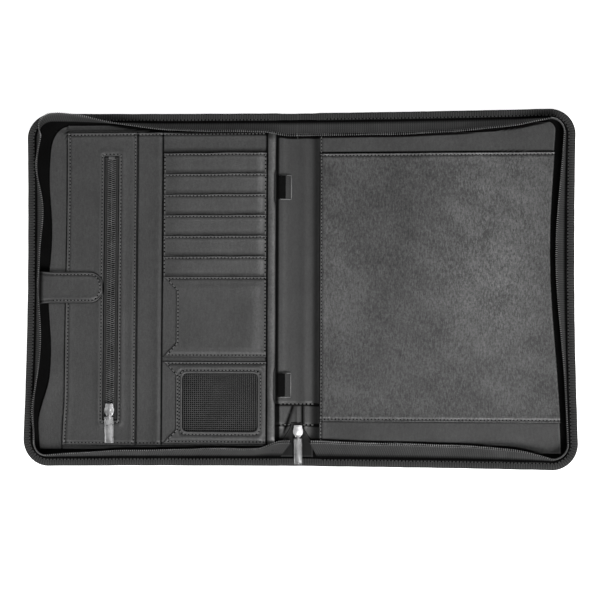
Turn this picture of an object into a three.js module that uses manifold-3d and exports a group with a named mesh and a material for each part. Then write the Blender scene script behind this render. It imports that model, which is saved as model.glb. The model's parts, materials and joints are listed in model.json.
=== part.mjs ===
// Portfolio case: a zipped leather folder for a writing pad, lying open and flat.
// Units are millimetres, +Z is up, +X runs from the left cover to the right cover and +Y up the page.
// The origin is under the middle of the spine, on the surface that the case lies on.

import * as THREE from 'three';
import { mergeVertices } from 'three/addons/utils/BufferGeometryUtils.js';
import Module from 'manifold-3d';

const wasm = await Module();
wasm.setup();

// ---- driving dimensions ----

const HALF_W = 264;
const HALF_H = 170;
const CORNER_R = 23;

// Half width of the spine, and where the skin and the inner pieces of each cover begin.
const SPINE_HALF = 20;
const SIDE_GAP = 0.3;
const SKIN_START = SPINE_HALF + SIDE_GAP;
const INNER_START = 22.3;

// Layers of a cover, from the table up.
const SKIN_TOP = 1.2;
const FOAM_TOP = 2.8;
const BOARD_TOP = 4.6;
const LINING_TOP = 5.4;
const LAYER_GAP = 0.1;

// Fabric binding folded round the edge of each cover.
const BINDING_W = 8;
const BINDING_T = 0.8;
const BINDING_WALL_T = 0.9;
const BINDING_END_GAP = 0.5;
const LAYER_INSET = BINDING_WALL_T + SIDE_GAP;
const BINDING_TOP = 6.1;
const SPINE_BINDING_TOP = 3.4;

// Zip tape that stands on each cover, and the coil along its free edge.
const TAPE_INSET = 9;
const TAPE_ROOT_Z = 5.9;
const TAPE_W = 15;
const TAPE_T = 0.8;
const COIL_W = 2.6;
const COIL_T = 1.8;
const CORNER_LEAN = 12;
const TAB_DIP_W = 30;

// Straight stretches, corners and discs are divided into this many steps.
const RUN_STEPS = 8;
const ARC_STEPS = 5;
const DISC_STEPS = 20;
const SMALL_ARC_STEPS = 3;
const MERGE_DISTANCE = 1e-4;

// A cutting tool reaches from below every layer to above every layer.
const CUT_LOW = -1;
const CUT_HIGH = 30;

// Right cover: base panel and pad pocket.
const BASE_HALF_H = 150;
const PAD_TOP = 129.9;
const PAD_BOTTOM = -127.6;
const POCKET_EDGE_X = 248;
const POCKET_EDGE_SAG = 8;
const PANEL_T = 0.8;
const BASE_PANEL_Z = 5.8;
const PAD_PANEL_Z = 6.9;

// Left cover: document pocket, organiser and its pockets, as heights of undersides.
const DOCUMENT_EDGE_X = -241;
const DOCUMENT_HALF_H = 156;
const GUSSET_W = 8;
const GUSSET_Z = 5.7;
const GUSSET_T = 0.9;
const GUSSET_INSET_X = 3;
const GUSSET_INSET_Y = 1;
const DOCUMENT_Z = 6.9;
const ORGANISER_LEFT = -225;
const ORGANISER_HALF_H = 151.5;
const ORGANISER_Z = 8;
const POCKET_LINING_Z = 8.95;
const POCKET_LINING_T = 0.35;
const POCKET_LINING_INSET = 4;
const SLIP_PANEL_Z = 9.1;
const ZIP_PANEL_Z = 9.9;
const ZIP_PANEL_RIGHT = -155.5;
const PANEL_SEAM_GAP = 0.4;
const LINING_TO_SEAM = 1;

// Zip of the inner pocket.
const SLOT_X = -180.4;
const SLOT_W = 13.8;
const SLOT_TOP = 127.8;
const SLOT_BOTTOM = -127.2;
const INNER_TAPE_W = 3.4;
const INNER_COIL_W = 2.6;
const INNER_ZIP_GAP = 0.15;
const COIL_TO_TAPE = 0.2;
const INNER_TAPE_T = 0.5;
const INNER_COIL_Z = 9.45;
const INNER_COIL_T = 1.15;
const STOP_L = 3;
const STOP_HALF_W = 3;
const STOP_Z = 10.75;
const STOP_T = 0.75;

// Card slots and the pockets under them.
const CARD_LEFT = -129.3;
const CARD_RIGHT = -29;
const CARD_COUNT = 6;
const CARD_TOP = 131.1;
const CARD_PITCH = 20;
const CARD_LENGTH = 26;
const CARD_RISE = 1.6;
const CARD_T = 0.9;
const CARD_Z = 10.2;
const LOWER_POCKET_Z = 10.5;
const PASS_TOP = CARD_TOP - CARD_COUNT * CARD_PITCH;
const PASS_BOTTOM = -66.5;
const ID_TOP = -70.5;
const ID_BOTTOM = -149.7;
const THUMB_DEPTH = 13;
const WINDOW = { left: -108, right: -37.8, top: -82.6, bottom: -137, radius: 4 };
const NET_MARGIN = 3;
const NET_Z = 10.1;
const NET_T = 0.3;
const ROLL_W = 5.6;
const ROLL_Z = 10.1;
const ROLL_H = 2.4;
const ROLL_R = 1.1;

// Magnetic tab over the mouth of the document pocket.
const TAB_Y = 0.5;
const TAB_HALF_H = 15.2;
const TAB_ROOT_X = -244;
const TAB_END_X = -187.6;
const TAB_END_R = 13;
const TAB_Z = 11.1;
const TAB_LAYER_GAP = 0.2;
const TAB_FOOT_X = -250.5;
const TAB_FOOT_T = 1.2;
const TAB_RISE_T = 1.6;
const TAB_ROOT_GAP = 0.4;
const TAB_RISE_DROP = 1.5;
const TAB_SHEET_T = 0.7;
const TAB_MAGNET_X = -197.5;
const MAGNET_R = 6;
const MAGNET_T = 0.9;
const MAGNET_PLATE_R = 7;
const MAGNET_PLATE_T = 0.4;

// Layers of the spine, and the fabric at its ends.
const STIFFENER_HALF_W = 13;
const STIFFENER_Z = 1.3;
const SPINE_LINING_Z = 2;
const SPINE_SHEET_T = 0.6;
const SPINE_GUSSET_Z = 2.8;
const SPINE_GUSSET_T = 1.2;
const SPINE_GUSSET_NEAR_W = 10;
const SPINE_GUSSET_FAR_W = 15.5;
const SPINE_GUSSET_END = 161;
const TOP_GUSSET_START = 138;
const BOTTOM_GUSSET_START = 129;

// Elastic pen loops on the spine.
const LOOP_BASE_Z = 2.8;
const LOOP_R = 1.4;
const LOOP_INNER_R = 0.6;
const LOOP_LEFT = -18.2;
const LOOP_RIGHT = -7;
const LOOP_TOP_Z = 8.7;
const LOOP_WALL = 0.7;
const LOOP_W = 22.4;
const LOOP_CENTRES = { upper: 97.3, lower: -93.1 };

// Zip sliders: a shield-shaped body with two lugs, and a pull that turns between them.
const SHIELD_HEAD_INSET = 0.6;
const SHIELD_BULGE = 0.5;
const SHIELD_TIP = 0.35;
const LUG_T = 0.8;
const LUG_ROOT = 0.5;
const LUG_HALF_L = 1;
const PIVOT_FROM_TIP = 2.2;
const PULL_CLEARANCE = 0.4;
const PULL_R = 0.8;
const NECK_END = 0.5;
const LUG_H = 1.9;
const NECK_W = 3;
const NECK_L = 5.5;
const PULL_T = 1;
const MAIN_ZIP = {
  x: 1.5, top: -131.3, width: 8.8, length: 12.4, z: 4.5, height: 3.2,
  pullW: 8, pullEnd: -168.5, tilt: 5,
};
const INNER_ZIP = {
  x: SLOT_X, top: -111.4, width: 10.2, length: 12.6, z: 10.9, height: 2.4,
  pullW: 8.8, pullEnd: -149.4, tilt: 4,
};

// ---- materials ----

function material(colour, roughness, metalness = 0) {
  return new THREE.MeshStandardMaterial({ color: colour, roughness, metalness });
}

const leather = () => material(0x3c3c3e, 0.55);
const shinyLeather = () => material(0x505052, 0.4);
const fabric = () => material(0x2a2a2c, 0.9);
const mesh = () => material(0x1c1c1e, 0.95);
const elastic = () => material(0x161618, 0.85);
const foam = () => material(0x4f4f4f, 0.95);
const board = () => material(0x8a7a62, 0.9);
const nylon = () => material(0x121214, 0.5);
const steel = () => material(0xc8c8cc, 0.28, 1);

// ---- solids ----

function toSolid(geometry) {
  const bare = geometry.clone();
  bare.deleteAttribute('normal');
  bare.deleteAttribute('uv');
  const merged = mergeVertices(bare, MERGE_DISTANCE);
  return new wasm.Manifold(new wasm.Mesh({
    numProp: 3,
    vertProperties: new Float32Array(merged.attributes.position.array),
    triVerts: new Uint32Array(merged.index.array),
  }));
}

function toGeometry(solid) {
  const result = solid.getMesh();
  const geometry = new THREE.BufferGeometry();
  geometry.setAttribute('position', new THREE.BufferAttribute(result.vertProperties, 3));
  geometry.setIndex(new THREE.BufferAttribute(result.triVerts, 1));
  return geometry;
}

function join(...geometries) {
  const solids = geometries.map(toSolid);
  return toGeometry(solids.reduce((total, solid) => total.add(solid)));
}

function cut(geometry, ...tools) {
  const solids = tools.map(toSolid);
  return toGeometry(solids.reduce((rest, tool) => rest.subtract(tool), toSolid(geometry)));
}

function overlap(first, second) {
  return toGeometry(toSolid(first).intersect(toSolid(second)));
}

function box(x0, x1, y0, y1, z0, z1) {
  const geometry = new THREE.BoxGeometry(x1 - x0, y1 - y0, z1 - z0);
  return geometry.translate((x0 + x1) / 2, (y0 + y1) / 2, (z0 + z1) / 2);
}

function plate(shape, z0, z1) {
  const options = { depth: z1 - z0, bevelEnabled: false, curveSegments: ARC_STEPS };
  return new THREE.ExtrudeGeometry(shape, options).translate(0, 0, z0);
}

// A constant section in the Y-Z plane, carried along X.
function prismAlongX(points, x0, x1) {
  const shape = new THREE.Shape(points.map(([y, z]) => new THREE.Vector2(y, z)));
  const geometry = new THREE.ExtrudeGeometry(shape, { depth: x1 - x0, bevelEnabled: false });
  const turn = new THREE.Matrix4().makeBasis(
    new THREE.Vector3(0, 1, 0), new THREE.Vector3(0, 0, 1), new THREE.Vector3(1, 0, 0));
  return geometry.applyMatrix4(turn).translate(x0, 0, 0);
}

function disc(x, y, radius, z0, z1) {
  const geometry = new THREE.CylinderGeometry(radius, radius, z1 - z0, DISC_STEPS);
  return geometry.rotateX(Math.PI / 2).translate(x, y, (z0 + z1) / 2);
}

function roundedRectangle(x0, x1, y0, y1, radius) {
  const shape = new THREE.Shape();
  shape.absarc(x1 - radius, y1 - radius, radius, 0, Math.PI / 2);
  shape.absarc(x0 + radius, y1 - radius, radius, Math.PI / 2, Math.PI);
  shape.absarc(x0 + radius, y0 + radius, radius, Math.PI, 1.5 * Math.PI);
  shape.absarc(x1 - radius, y0 + radius, radius, 1.5 * Math.PI, 2 * Math.PI);
  return shape;
}

function mirrored(geometry) {
  const copy = mergeVertices(geometry);
  const index = copy.index.array;
  for (let i = 0; i < index.length; i += 3) {
    [index[i], index[i + 1]] = [index[i + 1], index[i]];
  }
  return copy.scale(-1, 1, 1);
}

// ---- the edge of a cover ----

// Right-hand outline: straight along the top, round two corners and back along the bottom.
function edgeStations(startX) {
  const cornerX = HALF_W - CORNER_R;
  const cornerY = HALF_H - CORNER_R;
  const stations = [];
  const add = (x, y, angle, slack) => stations.push({ x, y, angle, slack });
  for (let i = 0; i < RUN_STEPS; i++) {
    const t = i / RUN_STEPS;
    add(startX + t * (cornerX - startX), HALF_H, Math.PI / 2, 1 - t ** 3);
  }
  for (let i = 0; i < ARC_STEPS; i++) {
    const angle = (1 - i / ARC_STEPS) * Math.PI / 2;
    add(cornerX + CORNER_R * Math.cos(angle), cornerY + CORNER_R * Math.sin(angle), angle, 0);
  }
  for (let i = 0; i <= 2 * RUN_STEPS; i++) {
    const t = i / (2 * RUN_STEPS);
    add(HALF_W, cornerY * (1 - 2 * t), 0, Math.sin(Math.PI * t));
  }
  for (let i = 1; i <= ARC_STEPS; i++) {
    const angle = -i / ARC_STEPS * Math.PI / 2;
    add(cornerX + CORNER_R * Math.cos(angle), -cornerY + CORNER_R * Math.sin(angle), angle, 0);
  }
  for (let i = 1; i <= RUN_STEPS; i++) {
    const t = i / RUN_STEPS;
    add(cornerX + t * (startX - cornerX), -HALF_H, -Math.PI / 2, 1 - (1 - t) ** 3);
  }
  return stations;
}

function insetPoint(station, inset) {
  const x = station.x - inset * Math.cos(station.angle);
  const y = station.y - inset * Math.sin(station.angle);
  return new THREE.Vector2(x, y);
}

function coverOutline(inset, startX) {
  return new THREE.Shape(edgeStations(startX).map((station) => insetPoint(station, inset)));
}

function edgeBand(outerInset, innerInset, startX) {
  const stations = edgeStations(startX);
  const outer = stations.map((station) => insetPoint(station, outerInset));
  const inner = stations.map((station) => insetPoint(station, innerInset));
  return new THREE.Shape([...outer, ...inner.reverse()]);
}

// A strip that follows the edge: section(station, across, through) gives its inset and height.
function edgeStrip(startX, section) {
  const stations = edgeStations(startX);
  const steps = stations.length - 1;
  const geometry = new THREE.BoxGeometry(1, 1, 1, steps, 1, 1);
  const position = geometry.attributes.position;
  for (let i = 0; i < position.count; i++) {
    const station = stations[Math.round((position.getX(i) + 0.5) * steps)];
    const { inset, z } = section(station, position.getY(i), position.getZ(i));
    const point = insetPoint(station, inset);
    position.setXYZ(i, point.x, point.y, z);
  }
  return geometry;
}

// Lean of the zip tape from upright, in radians.
function tapeLean(station, cover) {
  const onSide = Math.abs(station.angle) < 0.01;
  const slackest = onSide ? cover.sideLean : cover.runLean;
  const dip = onSide ? cover.tabDip * Math.exp(-((station.y / TAB_DIP_W) ** 2)) : 0;
  return (CORNER_LEAN + (slackest - CORNER_LEAN) * station.slack - dip) * Math.PI / 180;
}

// A strip of the leaning tape, from one distance up its width to another.
function tapeStrip(cover, from, to, thickness) {
  return edgeStrip(INNER_START, (station, across, through) => {
    const lean = tapeLean(station, cover);
    const along = (from + to) / 2 + across * (to - from);
    const off = through * thickness;
    return {
      inset: TAPE_INSET + along * Math.sin(lean) + off * Math.cos(lean),
      z: TAPE_ROOT_Z + along * Math.cos(lean) - off * Math.sin(lean),
    };
  });
}

// ---- the two covers ----

const COVERS = {
  left: { side: -1, sideLean: 38, runLean: 44, tabDip: 18 },
  right: { side: 1, sideLean: 42, runLean: 76, tabDip: 0 },
};

function placeOn(cover, geometry) {
  return cover.side > 0 ? geometry : mirrored(geometry);
}

function bindingGeometry() {
  const wall = plate(edgeBand(0, BINDING_WALL_T, INNER_START), 0, BINDING_TOP);
  const lower = plate(edgeBand(0, BINDING_W, INNER_START), 0, BINDING_T);
  const upper = plate(edgeBand(0, BINDING_W, INNER_START), LINING_TOP + LAYER_GAP, BINDING_TOP);
  return join(wall, lower, upper);
}

function coverPieces(name, cover) {
  const outline = coverOutline(LAYER_INSET, INNER_START);
  const layer = (bottom, top) => plate(outline, bottom + LAYER_GAP, top);
  const pieces = [
    ['outer_skin', plate(coverOutline(BINDING_W + SIDE_GAP, SKIN_START), 0, SKIN_TOP), leather()],
    ['foam_pad', layer(SKIN_TOP, FOAM_TOP), foam()],
    ['cover_board', layer(FOAM_TOP, BOARD_TOP), board()],
    ['lining', layer(BOARD_TOP, LINING_TOP), fabric()],
    ['edge_binding', bindingGeometry(), fabric()],
    ['zip_tape', tapeStrip(cover, 0, TAPE_W - COIL_W - SIDE_GAP, TAPE_T), fabric()],
    ['zip_coil', tapeStrip(cover, TAPE_W - COIL_W, TAPE_W, COIL_T), nylon()],
  ];
  return pieces.map(([part, geometry, look]) => [
    `${name}_${part}`, placeOn(cover, geometry), look,
  ]);
}

// ---- right cover: base panel and pad pocket, open along a curved outer edge ----

function pocketPanel(bottom, top, z) {
  const shape = new THREE.Shape();
  shape.moveTo(INNER_START, bottom);
  shape.lineTo(POCKET_EDGE_X, bottom);
  shape.quadraticCurveTo(POCKET_EDGE_X - 2 * POCKET_EDGE_SAG, 0, POCKET_EDGE_X, top);
  shape.lineTo(INNER_START, top);
  return plate(shape, z, z + PANEL_T);
}

function rightPockets() {
  return [
    ['right_base_panel', pocketPanel(-BASE_HALF_H, BASE_HALF_H, BASE_PANEL_Z), leather()],
    ['pad_pocket_panel', pocketPanel(PAD_BOTTOM, PAD_TOP, PAD_PANEL_Z), shinyLeather()],
  ];
}

// ---- spine ----

function spineBinding(side) {
  const innerY = HALF_H - BINDING_W;
  const half = SPINE_HALF - BINDING_END_GAP;
  const whole = box(-half, half, innerY, HALF_H, 0, SPINE_BINDING_TOP);
  const hollow = box(-SPINE_HALF, SPINE_HALF, innerY - BINDING_W, HALF_H - BINDING_WALL_T,
    BINDING_T, SPINE_BINDING_TOP - BINDING_T);
  const upper = cut(whole, hollow);
  return side > 0 ? upper : upper.rotateZ(Math.PI);
}

function penLoop(centreY) {
  const middle = (LOOP_LEFT + LOOP_RIGHT) / 2;
  const halfW = (LOOP_RIGHT - LOOP_LEFT) / 2;
  const ring = roundedRectangle(-halfW, halfW, LOOP_BASE_Z, LOOP_TOP_Z, LOOP_R);
  ring.holes.push(roundedRectangle(-halfW + LOOP_WALL, halfW - LOOP_WALL,
    LOOP_BASE_Z + LOOP_WALL, LOOP_TOP_Z - LOOP_WALL, LOOP_INNER_R));
  const options = { depth: LOOP_W, bevelEnabled: false, curveSegments: SMALL_ARC_STEPS };
  const band = new THREE.ExtrudeGeometry(ring, options);
  return band.rotateX(Math.PI / 2).translate(middle, centreY + LOOP_W / 2, 0);
}

// Fabric that closes an end of the spine between the zip tapes.
function spineGusset(nearY, farY) {
  const shape = new THREE.Shape();
  shape.moveTo(-SPINE_GUSSET_NEAR_W, nearY);
  shape.lineTo(SPINE_GUSSET_NEAR_W, nearY);
  shape.lineTo(SPINE_GUSSET_FAR_W, farY);
  shape.lineTo(-SPINE_GUSSET_FAR_W, farY);
  return plate(shape, SPINE_GUSSET_Z, SPINE_GUSSET_Z + SPINE_GUSSET_T);
}

function spinePieces() {
  const halfH = HALF_H - BINDING_W - SIDE_GAP;
  const liningHalf = SPINE_HALF - BINDING_END_GAP;
  const sheet = (halfW, z0, z1) => box(-halfW, halfW, -halfH, halfH, z0, z1);
  return [
    ['spine_outer_skin', sheet(SPINE_HALF, 0, SKIN_TOP), leather()],
    ['spine_stiffener', sheet(STIFFENER_HALF_W, STIFFENER_Z, STIFFENER_Z + SPINE_SHEET_T), board()],
    ['spine_lining', sheet(liningHalf, SPINE_LINING_Z, SPINE_LINING_Z + SPINE_SHEET_T), leather()],
    ['spine_top_binding', spineBinding(1), fabric()],
    ['spine_bottom_binding', spineBinding(-1), fabric()],
    ['spine_top_gusset', spineGusset(TOP_GUSSET_START, SPINE_GUSSET_END), fabric()],
    ['spine_bottom_gusset', spineGusset(-BOTTOM_GUSSET_START, -SPINE_GUSSET_END), fabric()],
    ['pen_loop_upper', penLoop(LOOP_CENTRES.upper), elastic()],
    ['pen_loop_lower', penLoop(LOOP_CENTRES.lower), elastic()],
  ];
}

// ---- zip sliders and pulls ----

function pivotOf(zip) {
  const above = zip.z + zip.height;
  return { y: zip.top - zip.length + PIVOT_FROM_TIP, z: above + PULL_T / 2 + PULL_CLEARANCE };
}

function sliderBody(zip) {
  const half = zip.width / 2;
  const head = half - SHIELD_HEAD_INSET;
  const bulge = half + SHIELD_BULGE;
  const tip = half * SHIELD_TIP;
  const shield = new THREE.Shape();
  shield.moveTo(-head, 0);
  shield.lineTo(head, 0);
  shield.quadraticCurveTo(bulge, -zip.length / 2, tip, -zip.length);
  shield.lineTo(-tip, -zip.length);
  shield.quadraticCurveTo(-bulge, -zip.length / 2, -head, 0);
  const body = plate(shield, 0, zip.height).translate(zip.x, zip.top, zip.z);
  const pivot = pivotOf(zip);
  const lugs = [-1, 1].map((side) => {
    const middle = zip.x + side * (NECK_W / 2 + SIDE_GAP + LUG_T / 2);
    const top = zip.z + zip.height;
    return box(middle - LUG_T / 2, middle + LUG_T / 2, pivot.y - LUG_HALF_L, pivot.y + LUG_HALF_L,
      top - LUG_ROOT, top + LUG_H);
  });
  return join(body, ...lugs);
}

function pull(zip) {
  const pivot = pivotOf(zip);
  const halfW = zip.pullW / 2;
  const length = pivot.y - zip.pullEnd;
  const neck = box(-NECK_W / 2, NECK_W / 2, -NECK_L - NECK_END, NECK_END, -PULL_T / 2, PULL_T / 2);
  const outline = roundedRectangle(-halfW, halfW, -length, -NECK_L, PULL_R);
  const strip = plate(outline, -PULL_T / 2, PULL_T / 2);
  const geometry = join(neck, strip).rotateX(zip.tilt * Math.PI / 180);
  return geometry.translate(zip.x, pivot.y, pivot.z);
}

// ---- left cover: document pocket ----

function documentPocket() {
  const left = DOCUMENT_EDGE_X + GUSSET_INSET_X;
  const half = DOCUMENT_HALF_H - GUSSET_INSET_Y;
  const outer = box(left, -INNER_START, -half, half, GUSSET_Z, GUSSET_Z + GUSSET_T);
  const mouth = box(left - GUSSET_W, -INNER_START - GUSSET_W, -half + GUSSET_W, half - GUSSET_W,
    CUT_LOW, CUT_HIGH);
  const panel = box(DOCUMENT_EDGE_X, -INNER_START, -DOCUMENT_HALF_H, DOCUMENT_HALF_H,
    DOCUMENT_Z, DOCUMENT_Z + PANEL_T);
  return [
    ['document_pocket_gusset', cut(outer, mouth), fabric()],
    ['document_pocket_panel', panel, leather()],
  ];
}

// ---- left cover: organiser, zip pocket and slip pocket ----

function zipPocketPanel() {
  const whole = box(ORGANISER_LEFT, ZIP_PANEL_RIGHT, -ORGANISER_HALF_H, ORGANISER_HALF_H,
    ZIP_PANEL_Z, ZIP_PANEL_Z + PANEL_T);
  const halfSlot = SLOT_W / 2;
  const slot = box(SLOT_X - halfSlot, SLOT_X + halfSlot, SLOT_BOTTOM, SLOT_TOP,
    CUT_LOW, CUT_HIGH);
  return cut(whole, slot);
}

function organiserPanels() {
  const half = ORGANISER_HALF_H;
  const liningHalf = half - POCKET_LINING_INSET;
  const whole = box(ORGANISER_LEFT, -INNER_START, -half, half, ORGANISER_Z, ORGANISER_Z + PANEL_T);
  const bag = box(ORGANISER_LEFT + POCKET_LINING_INSET, ZIP_PANEL_RIGHT - LINING_TO_SEAM,
    -liningHalf, liningHalf, POCKET_LINING_Z, POCKET_LINING_Z + POCKET_LINING_T);
  const slip = box(ZIP_PANEL_RIGHT + PANEL_SEAM_GAP, -INNER_START - SIDE_GAP, -half, half,
    SLIP_PANEL_Z, SLIP_PANEL_Z + PANEL_T);
  return [
    ['organiser_panel', whole, leather()],
    ['zip_pocket_lining', bag, fabric()],
    ['zip_pocket_panel', zipPocketPanel(), leather()],
    ['slip_pocket_panel', slip, leather()],
    ['organiser_spine_roll', spineRoll(), leather()],
  ];
}

// Rolled leather edge along the spine side of the organiser.
function spineRoll() {
  const shape = roundedRectangle(-ROLL_W / 2, ROLL_W / 2, 0, ROLL_H, ROLL_R);
  const options = {
    depth: 2 * ORGANISER_HALF_H, bevelEnabled: false, curveSegments: SMALL_ARC_STEPS,
  };
  const geometry = new THREE.ExtrudeGeometry(shape, options).rotateX(Math.PI / 2);
  return geometry.translate(-INNER_START - SIDE_GAP - ROLL_W / 2, ORGANISER_HALF_H, ROLL_Z);
}

function innerZip() {
  const pieces = [];
  for (const [name, side] of [['left', -1], ['right', 1]]) {
    const strip = (from, to, z0, z1) => {
      const ends = [SLOT_X + side * from, SLOT_X + side * to].sort((a, b) => a - b);
      return box(ends[0], ends[1], SLOT_BOTTOM + SIDE_GAP, SLOT_TOP - SIDE_GAP, z0, z1);
    };
    const coilTo = INNER_ZIP_GAP + INNER_COIL_W;
    const tapeFrom = coilTo + COIL_TO_TAPE;
    const tape = strip(tapeFrom, tapeFrom + INNER_TAPE_W, ZIP_PANEL_Z, ZIP_PANEL_Z + INNER_TAPE_T);
    const coil = strip(INNER_ZIP_GAP, coilTo, INNER_COIL_Z, INNER_COIL_Z + INNER_COIL_T);
    pieces.push([`inner_zip_tape_${name}`, tape, fabric()]);
    pieces.push([`inner_zip_coil_${name}`, coil, nylon()]);
  }
  for (const [name, y] of [['top', SLOT_TOP - STOP_L], ['bottom', SLOT_BOTTOM]]) {
    const stop = box(SLOT_X - STOP_HALF_W, SLOT_X + STOP_HALF_W, y, y + STOP_L,
      STOP_Z, STOP_Z + STOP_T);
    pieces.push([`inner_zip_${name}_stop`, stop, nylon()]);
  }
  return pieces;
}

// ---- left cover: card slots and ID pockets ----

function cardSlots() {
  const pieces = [];
  for (let i = 0; i < CARD_COUNT; i++) {
    const top = CARD_TOP - i * CARD_PITCH;
    const bottom = top - CARD_LENGTH;
    const section = [
      [top, CARD_Z + CARD_RISE], [top, CARD_Z + CARD_RISE + CARD_T],
      [bottom, CARD_Z + CARD_T], [bottom, CARD_Z],
    ];
    pieces.push([`card_slot_${i + 1}`, prismAlongX(section, CARD_LEFT, CARD_RIGHT), leather()]);
  }
  return pieces;
}

// Outline of a pocket front whose left edge is cut back for a thumb.
function thumbOutline(top, bottom) {
  const shape = new THREE.Shape();
  shape.moveTo(CARD_LEFT, bottom);
  shape.lineTo(CARD_RIGHT, bottom);
  shape.lineTo(CARD_RIGHT, top);
  shape.lineTo(CARD_LEFT, top);
  shape.lineTo(CARD_LEFT + THUMB_DEPTH, top - THUMB_DEPTH);
  shape.lineTo(CARD_LEFT + THUMB_DEPTH, bottom + THUMB_DEPTH);
  return shape;
}

function passPocket() {
  const flat = LOWER_POCKET_Z;
  const raised = CARD_Z + CARD_RISE;
  const slopeEnd = PASS_TOP - CARD_LENGTH;
  const section = [
    [PASS_TOP, raised], [PASS_TOP, raised + CARD_T], [slopeEnd, flat + CARD_T],
    [PASS_BOTTOM, flat + CARD_T], [PASS_BOTTOM, flat], [slopeEnd, flat],
  ];
  const sheet = prismAlongX(section, CARD_LEFT, CARD_RIGHT);
  return overlap(sheet, plate(thumbOutline(PASS_TOP, PASS_BOTTOM), CUT_LOW, CUT_HIGH));
}

function idPocket() {
  const front = thumbOutline(ID_TOP, ID_BOTTOM);
  front.holes.push(roundedRectangle(
    WINDOW.left, WINDOW.right, WINDOW.bottom, WINDOW.top, WINDOW.radius));
  const net = box(WINDOW.left - NET_MARGIN, WINDOW.right + NET_MARGIN,
    WINDOW.bottom - NET_MARGIN, WINDOW.top + NET_MARGIN, NET_Z, NET_Z + NET_T);
  return [
    ['pass_pocket_panel', passPocket(), leather()],
    ['id_pocket_panel', plate(front, LOWER_POCKET_Z, LOWER_POCKET_Z + CARD_T), leather()],
    ['id_window_mesh', net, mesh()],
  ];
}

// ---- left cover: magnetic tab ----

function tabSheet(z0, z1) {
  const top = TAB_Y + TAB_HALF_H;
  const bottom = TAB_Y - TAB_HALF_H;
  const shape = new THREE.Shape();
  shape.moveTo(TAB_ROOT_X, bottom);
  shape.lineTo(TAB_END_X - TAB_END_R, bottom);
  shape.absarc(TAB_END_X - TAB_END_R, bottom + TAB_END_R, TAB_END_R, -Math.PI / 2, 0);
  shape.absarc(TAB_END_X - TAB_END_R, top - TAB_END_R, TAB_END_R, 0, Math.PI / 2);
  shape.lineTo(TAB_ROOT_X, top);
  return plate(shape, z0, z1);
}

function tabPieces() {
  const magnetZ = TAB_Z + TAB_SHEET_T + TAB_LAYER_GAP;
  const frontZ = magnetZ + MAGNET_T + TAB_LAYER_GAP;
  return [
    ['tab_back', tabSheet(TAB_Z, TAB_Z + TAB_SHEET_T), fabric()],
    ['tab_magnet', disc(TAB_MAGNET_X, TAB_Y, MAGNET_R, magnetZ, magnetZ + MAGNET_T), steel()],
    ['tab_front', tabSheet(frontZ, frontZ + TAB_SHEET_T), leather()],
  ];
}

// The sewn root of the tab, and the plate under the zip pocket that its magnet holds.
function tabSeat() {
  const top = TAB_Y + TAB_HALF_H;
  const bottom = TAB_Y - TAB_HALF_H;
  const footZ = LINING_TOP + SIDE_GAP;
  const right = TAB_ROOT_X - TAB_ROOT_GAP;
  const foot = box(TAB_FOOT_X, right, bottom, top, footZ, footZ + TAB_FOOT_T);
  const rise = box(right - TAB_RISE_T, right, bottom, top, footZ, TAB_Z - TAB_RISE_DROP);
  const plateZ = POCKET_LINING_Z + POCKET_LINING_T + LAYER_GAP;
  return [
    ['tab_anchor', join(foot, rise), leather()],
    ['tab_magnet_plate', disc(TAB_MAGNET_X, TAB_Y, MAGNET_PLATE_R, plateZ,
      plateZ + MAGNET_PLATE_T), steel()],
  ];
}

// ---- the whole case ----

const portfolio = new THREE.Group();

const pieces = [
  ...coverPieces('right', COVERS.right),
  ...rightPockets(),
  ...spinePieces(),
  ['main_zip_slider', sliderBody(MAIN_ZIP), steel()],
  ['main_zip_pull', pull(MAIN_ZIP), steel()],
  ...coverPieces('left', COVERS.left),
  ...documentPocket(),
  ...organiserPanels(),
  ...innerZip(),
  ['inner_zip_slider', sliderBody(INNER_ZIP), steel()],
  ['inner_zip_pull', pull(INNER_ZIP), steel()],
  ...cardSlots(),
  ...idPocket(),
  ...tabSeat(),
  ...tabPieces(),
];

for (const [name, geometry, look] of pieces) {
  const node = new THREE.Mesh(geometry, look);
  node.name = name;
  portfolio.add(node);
}

export default portfolio;
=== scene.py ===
"""Portfolio case: the looks. Lengths are in millimetres here and become metres where a mesh is made."""

import json
import math

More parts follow.
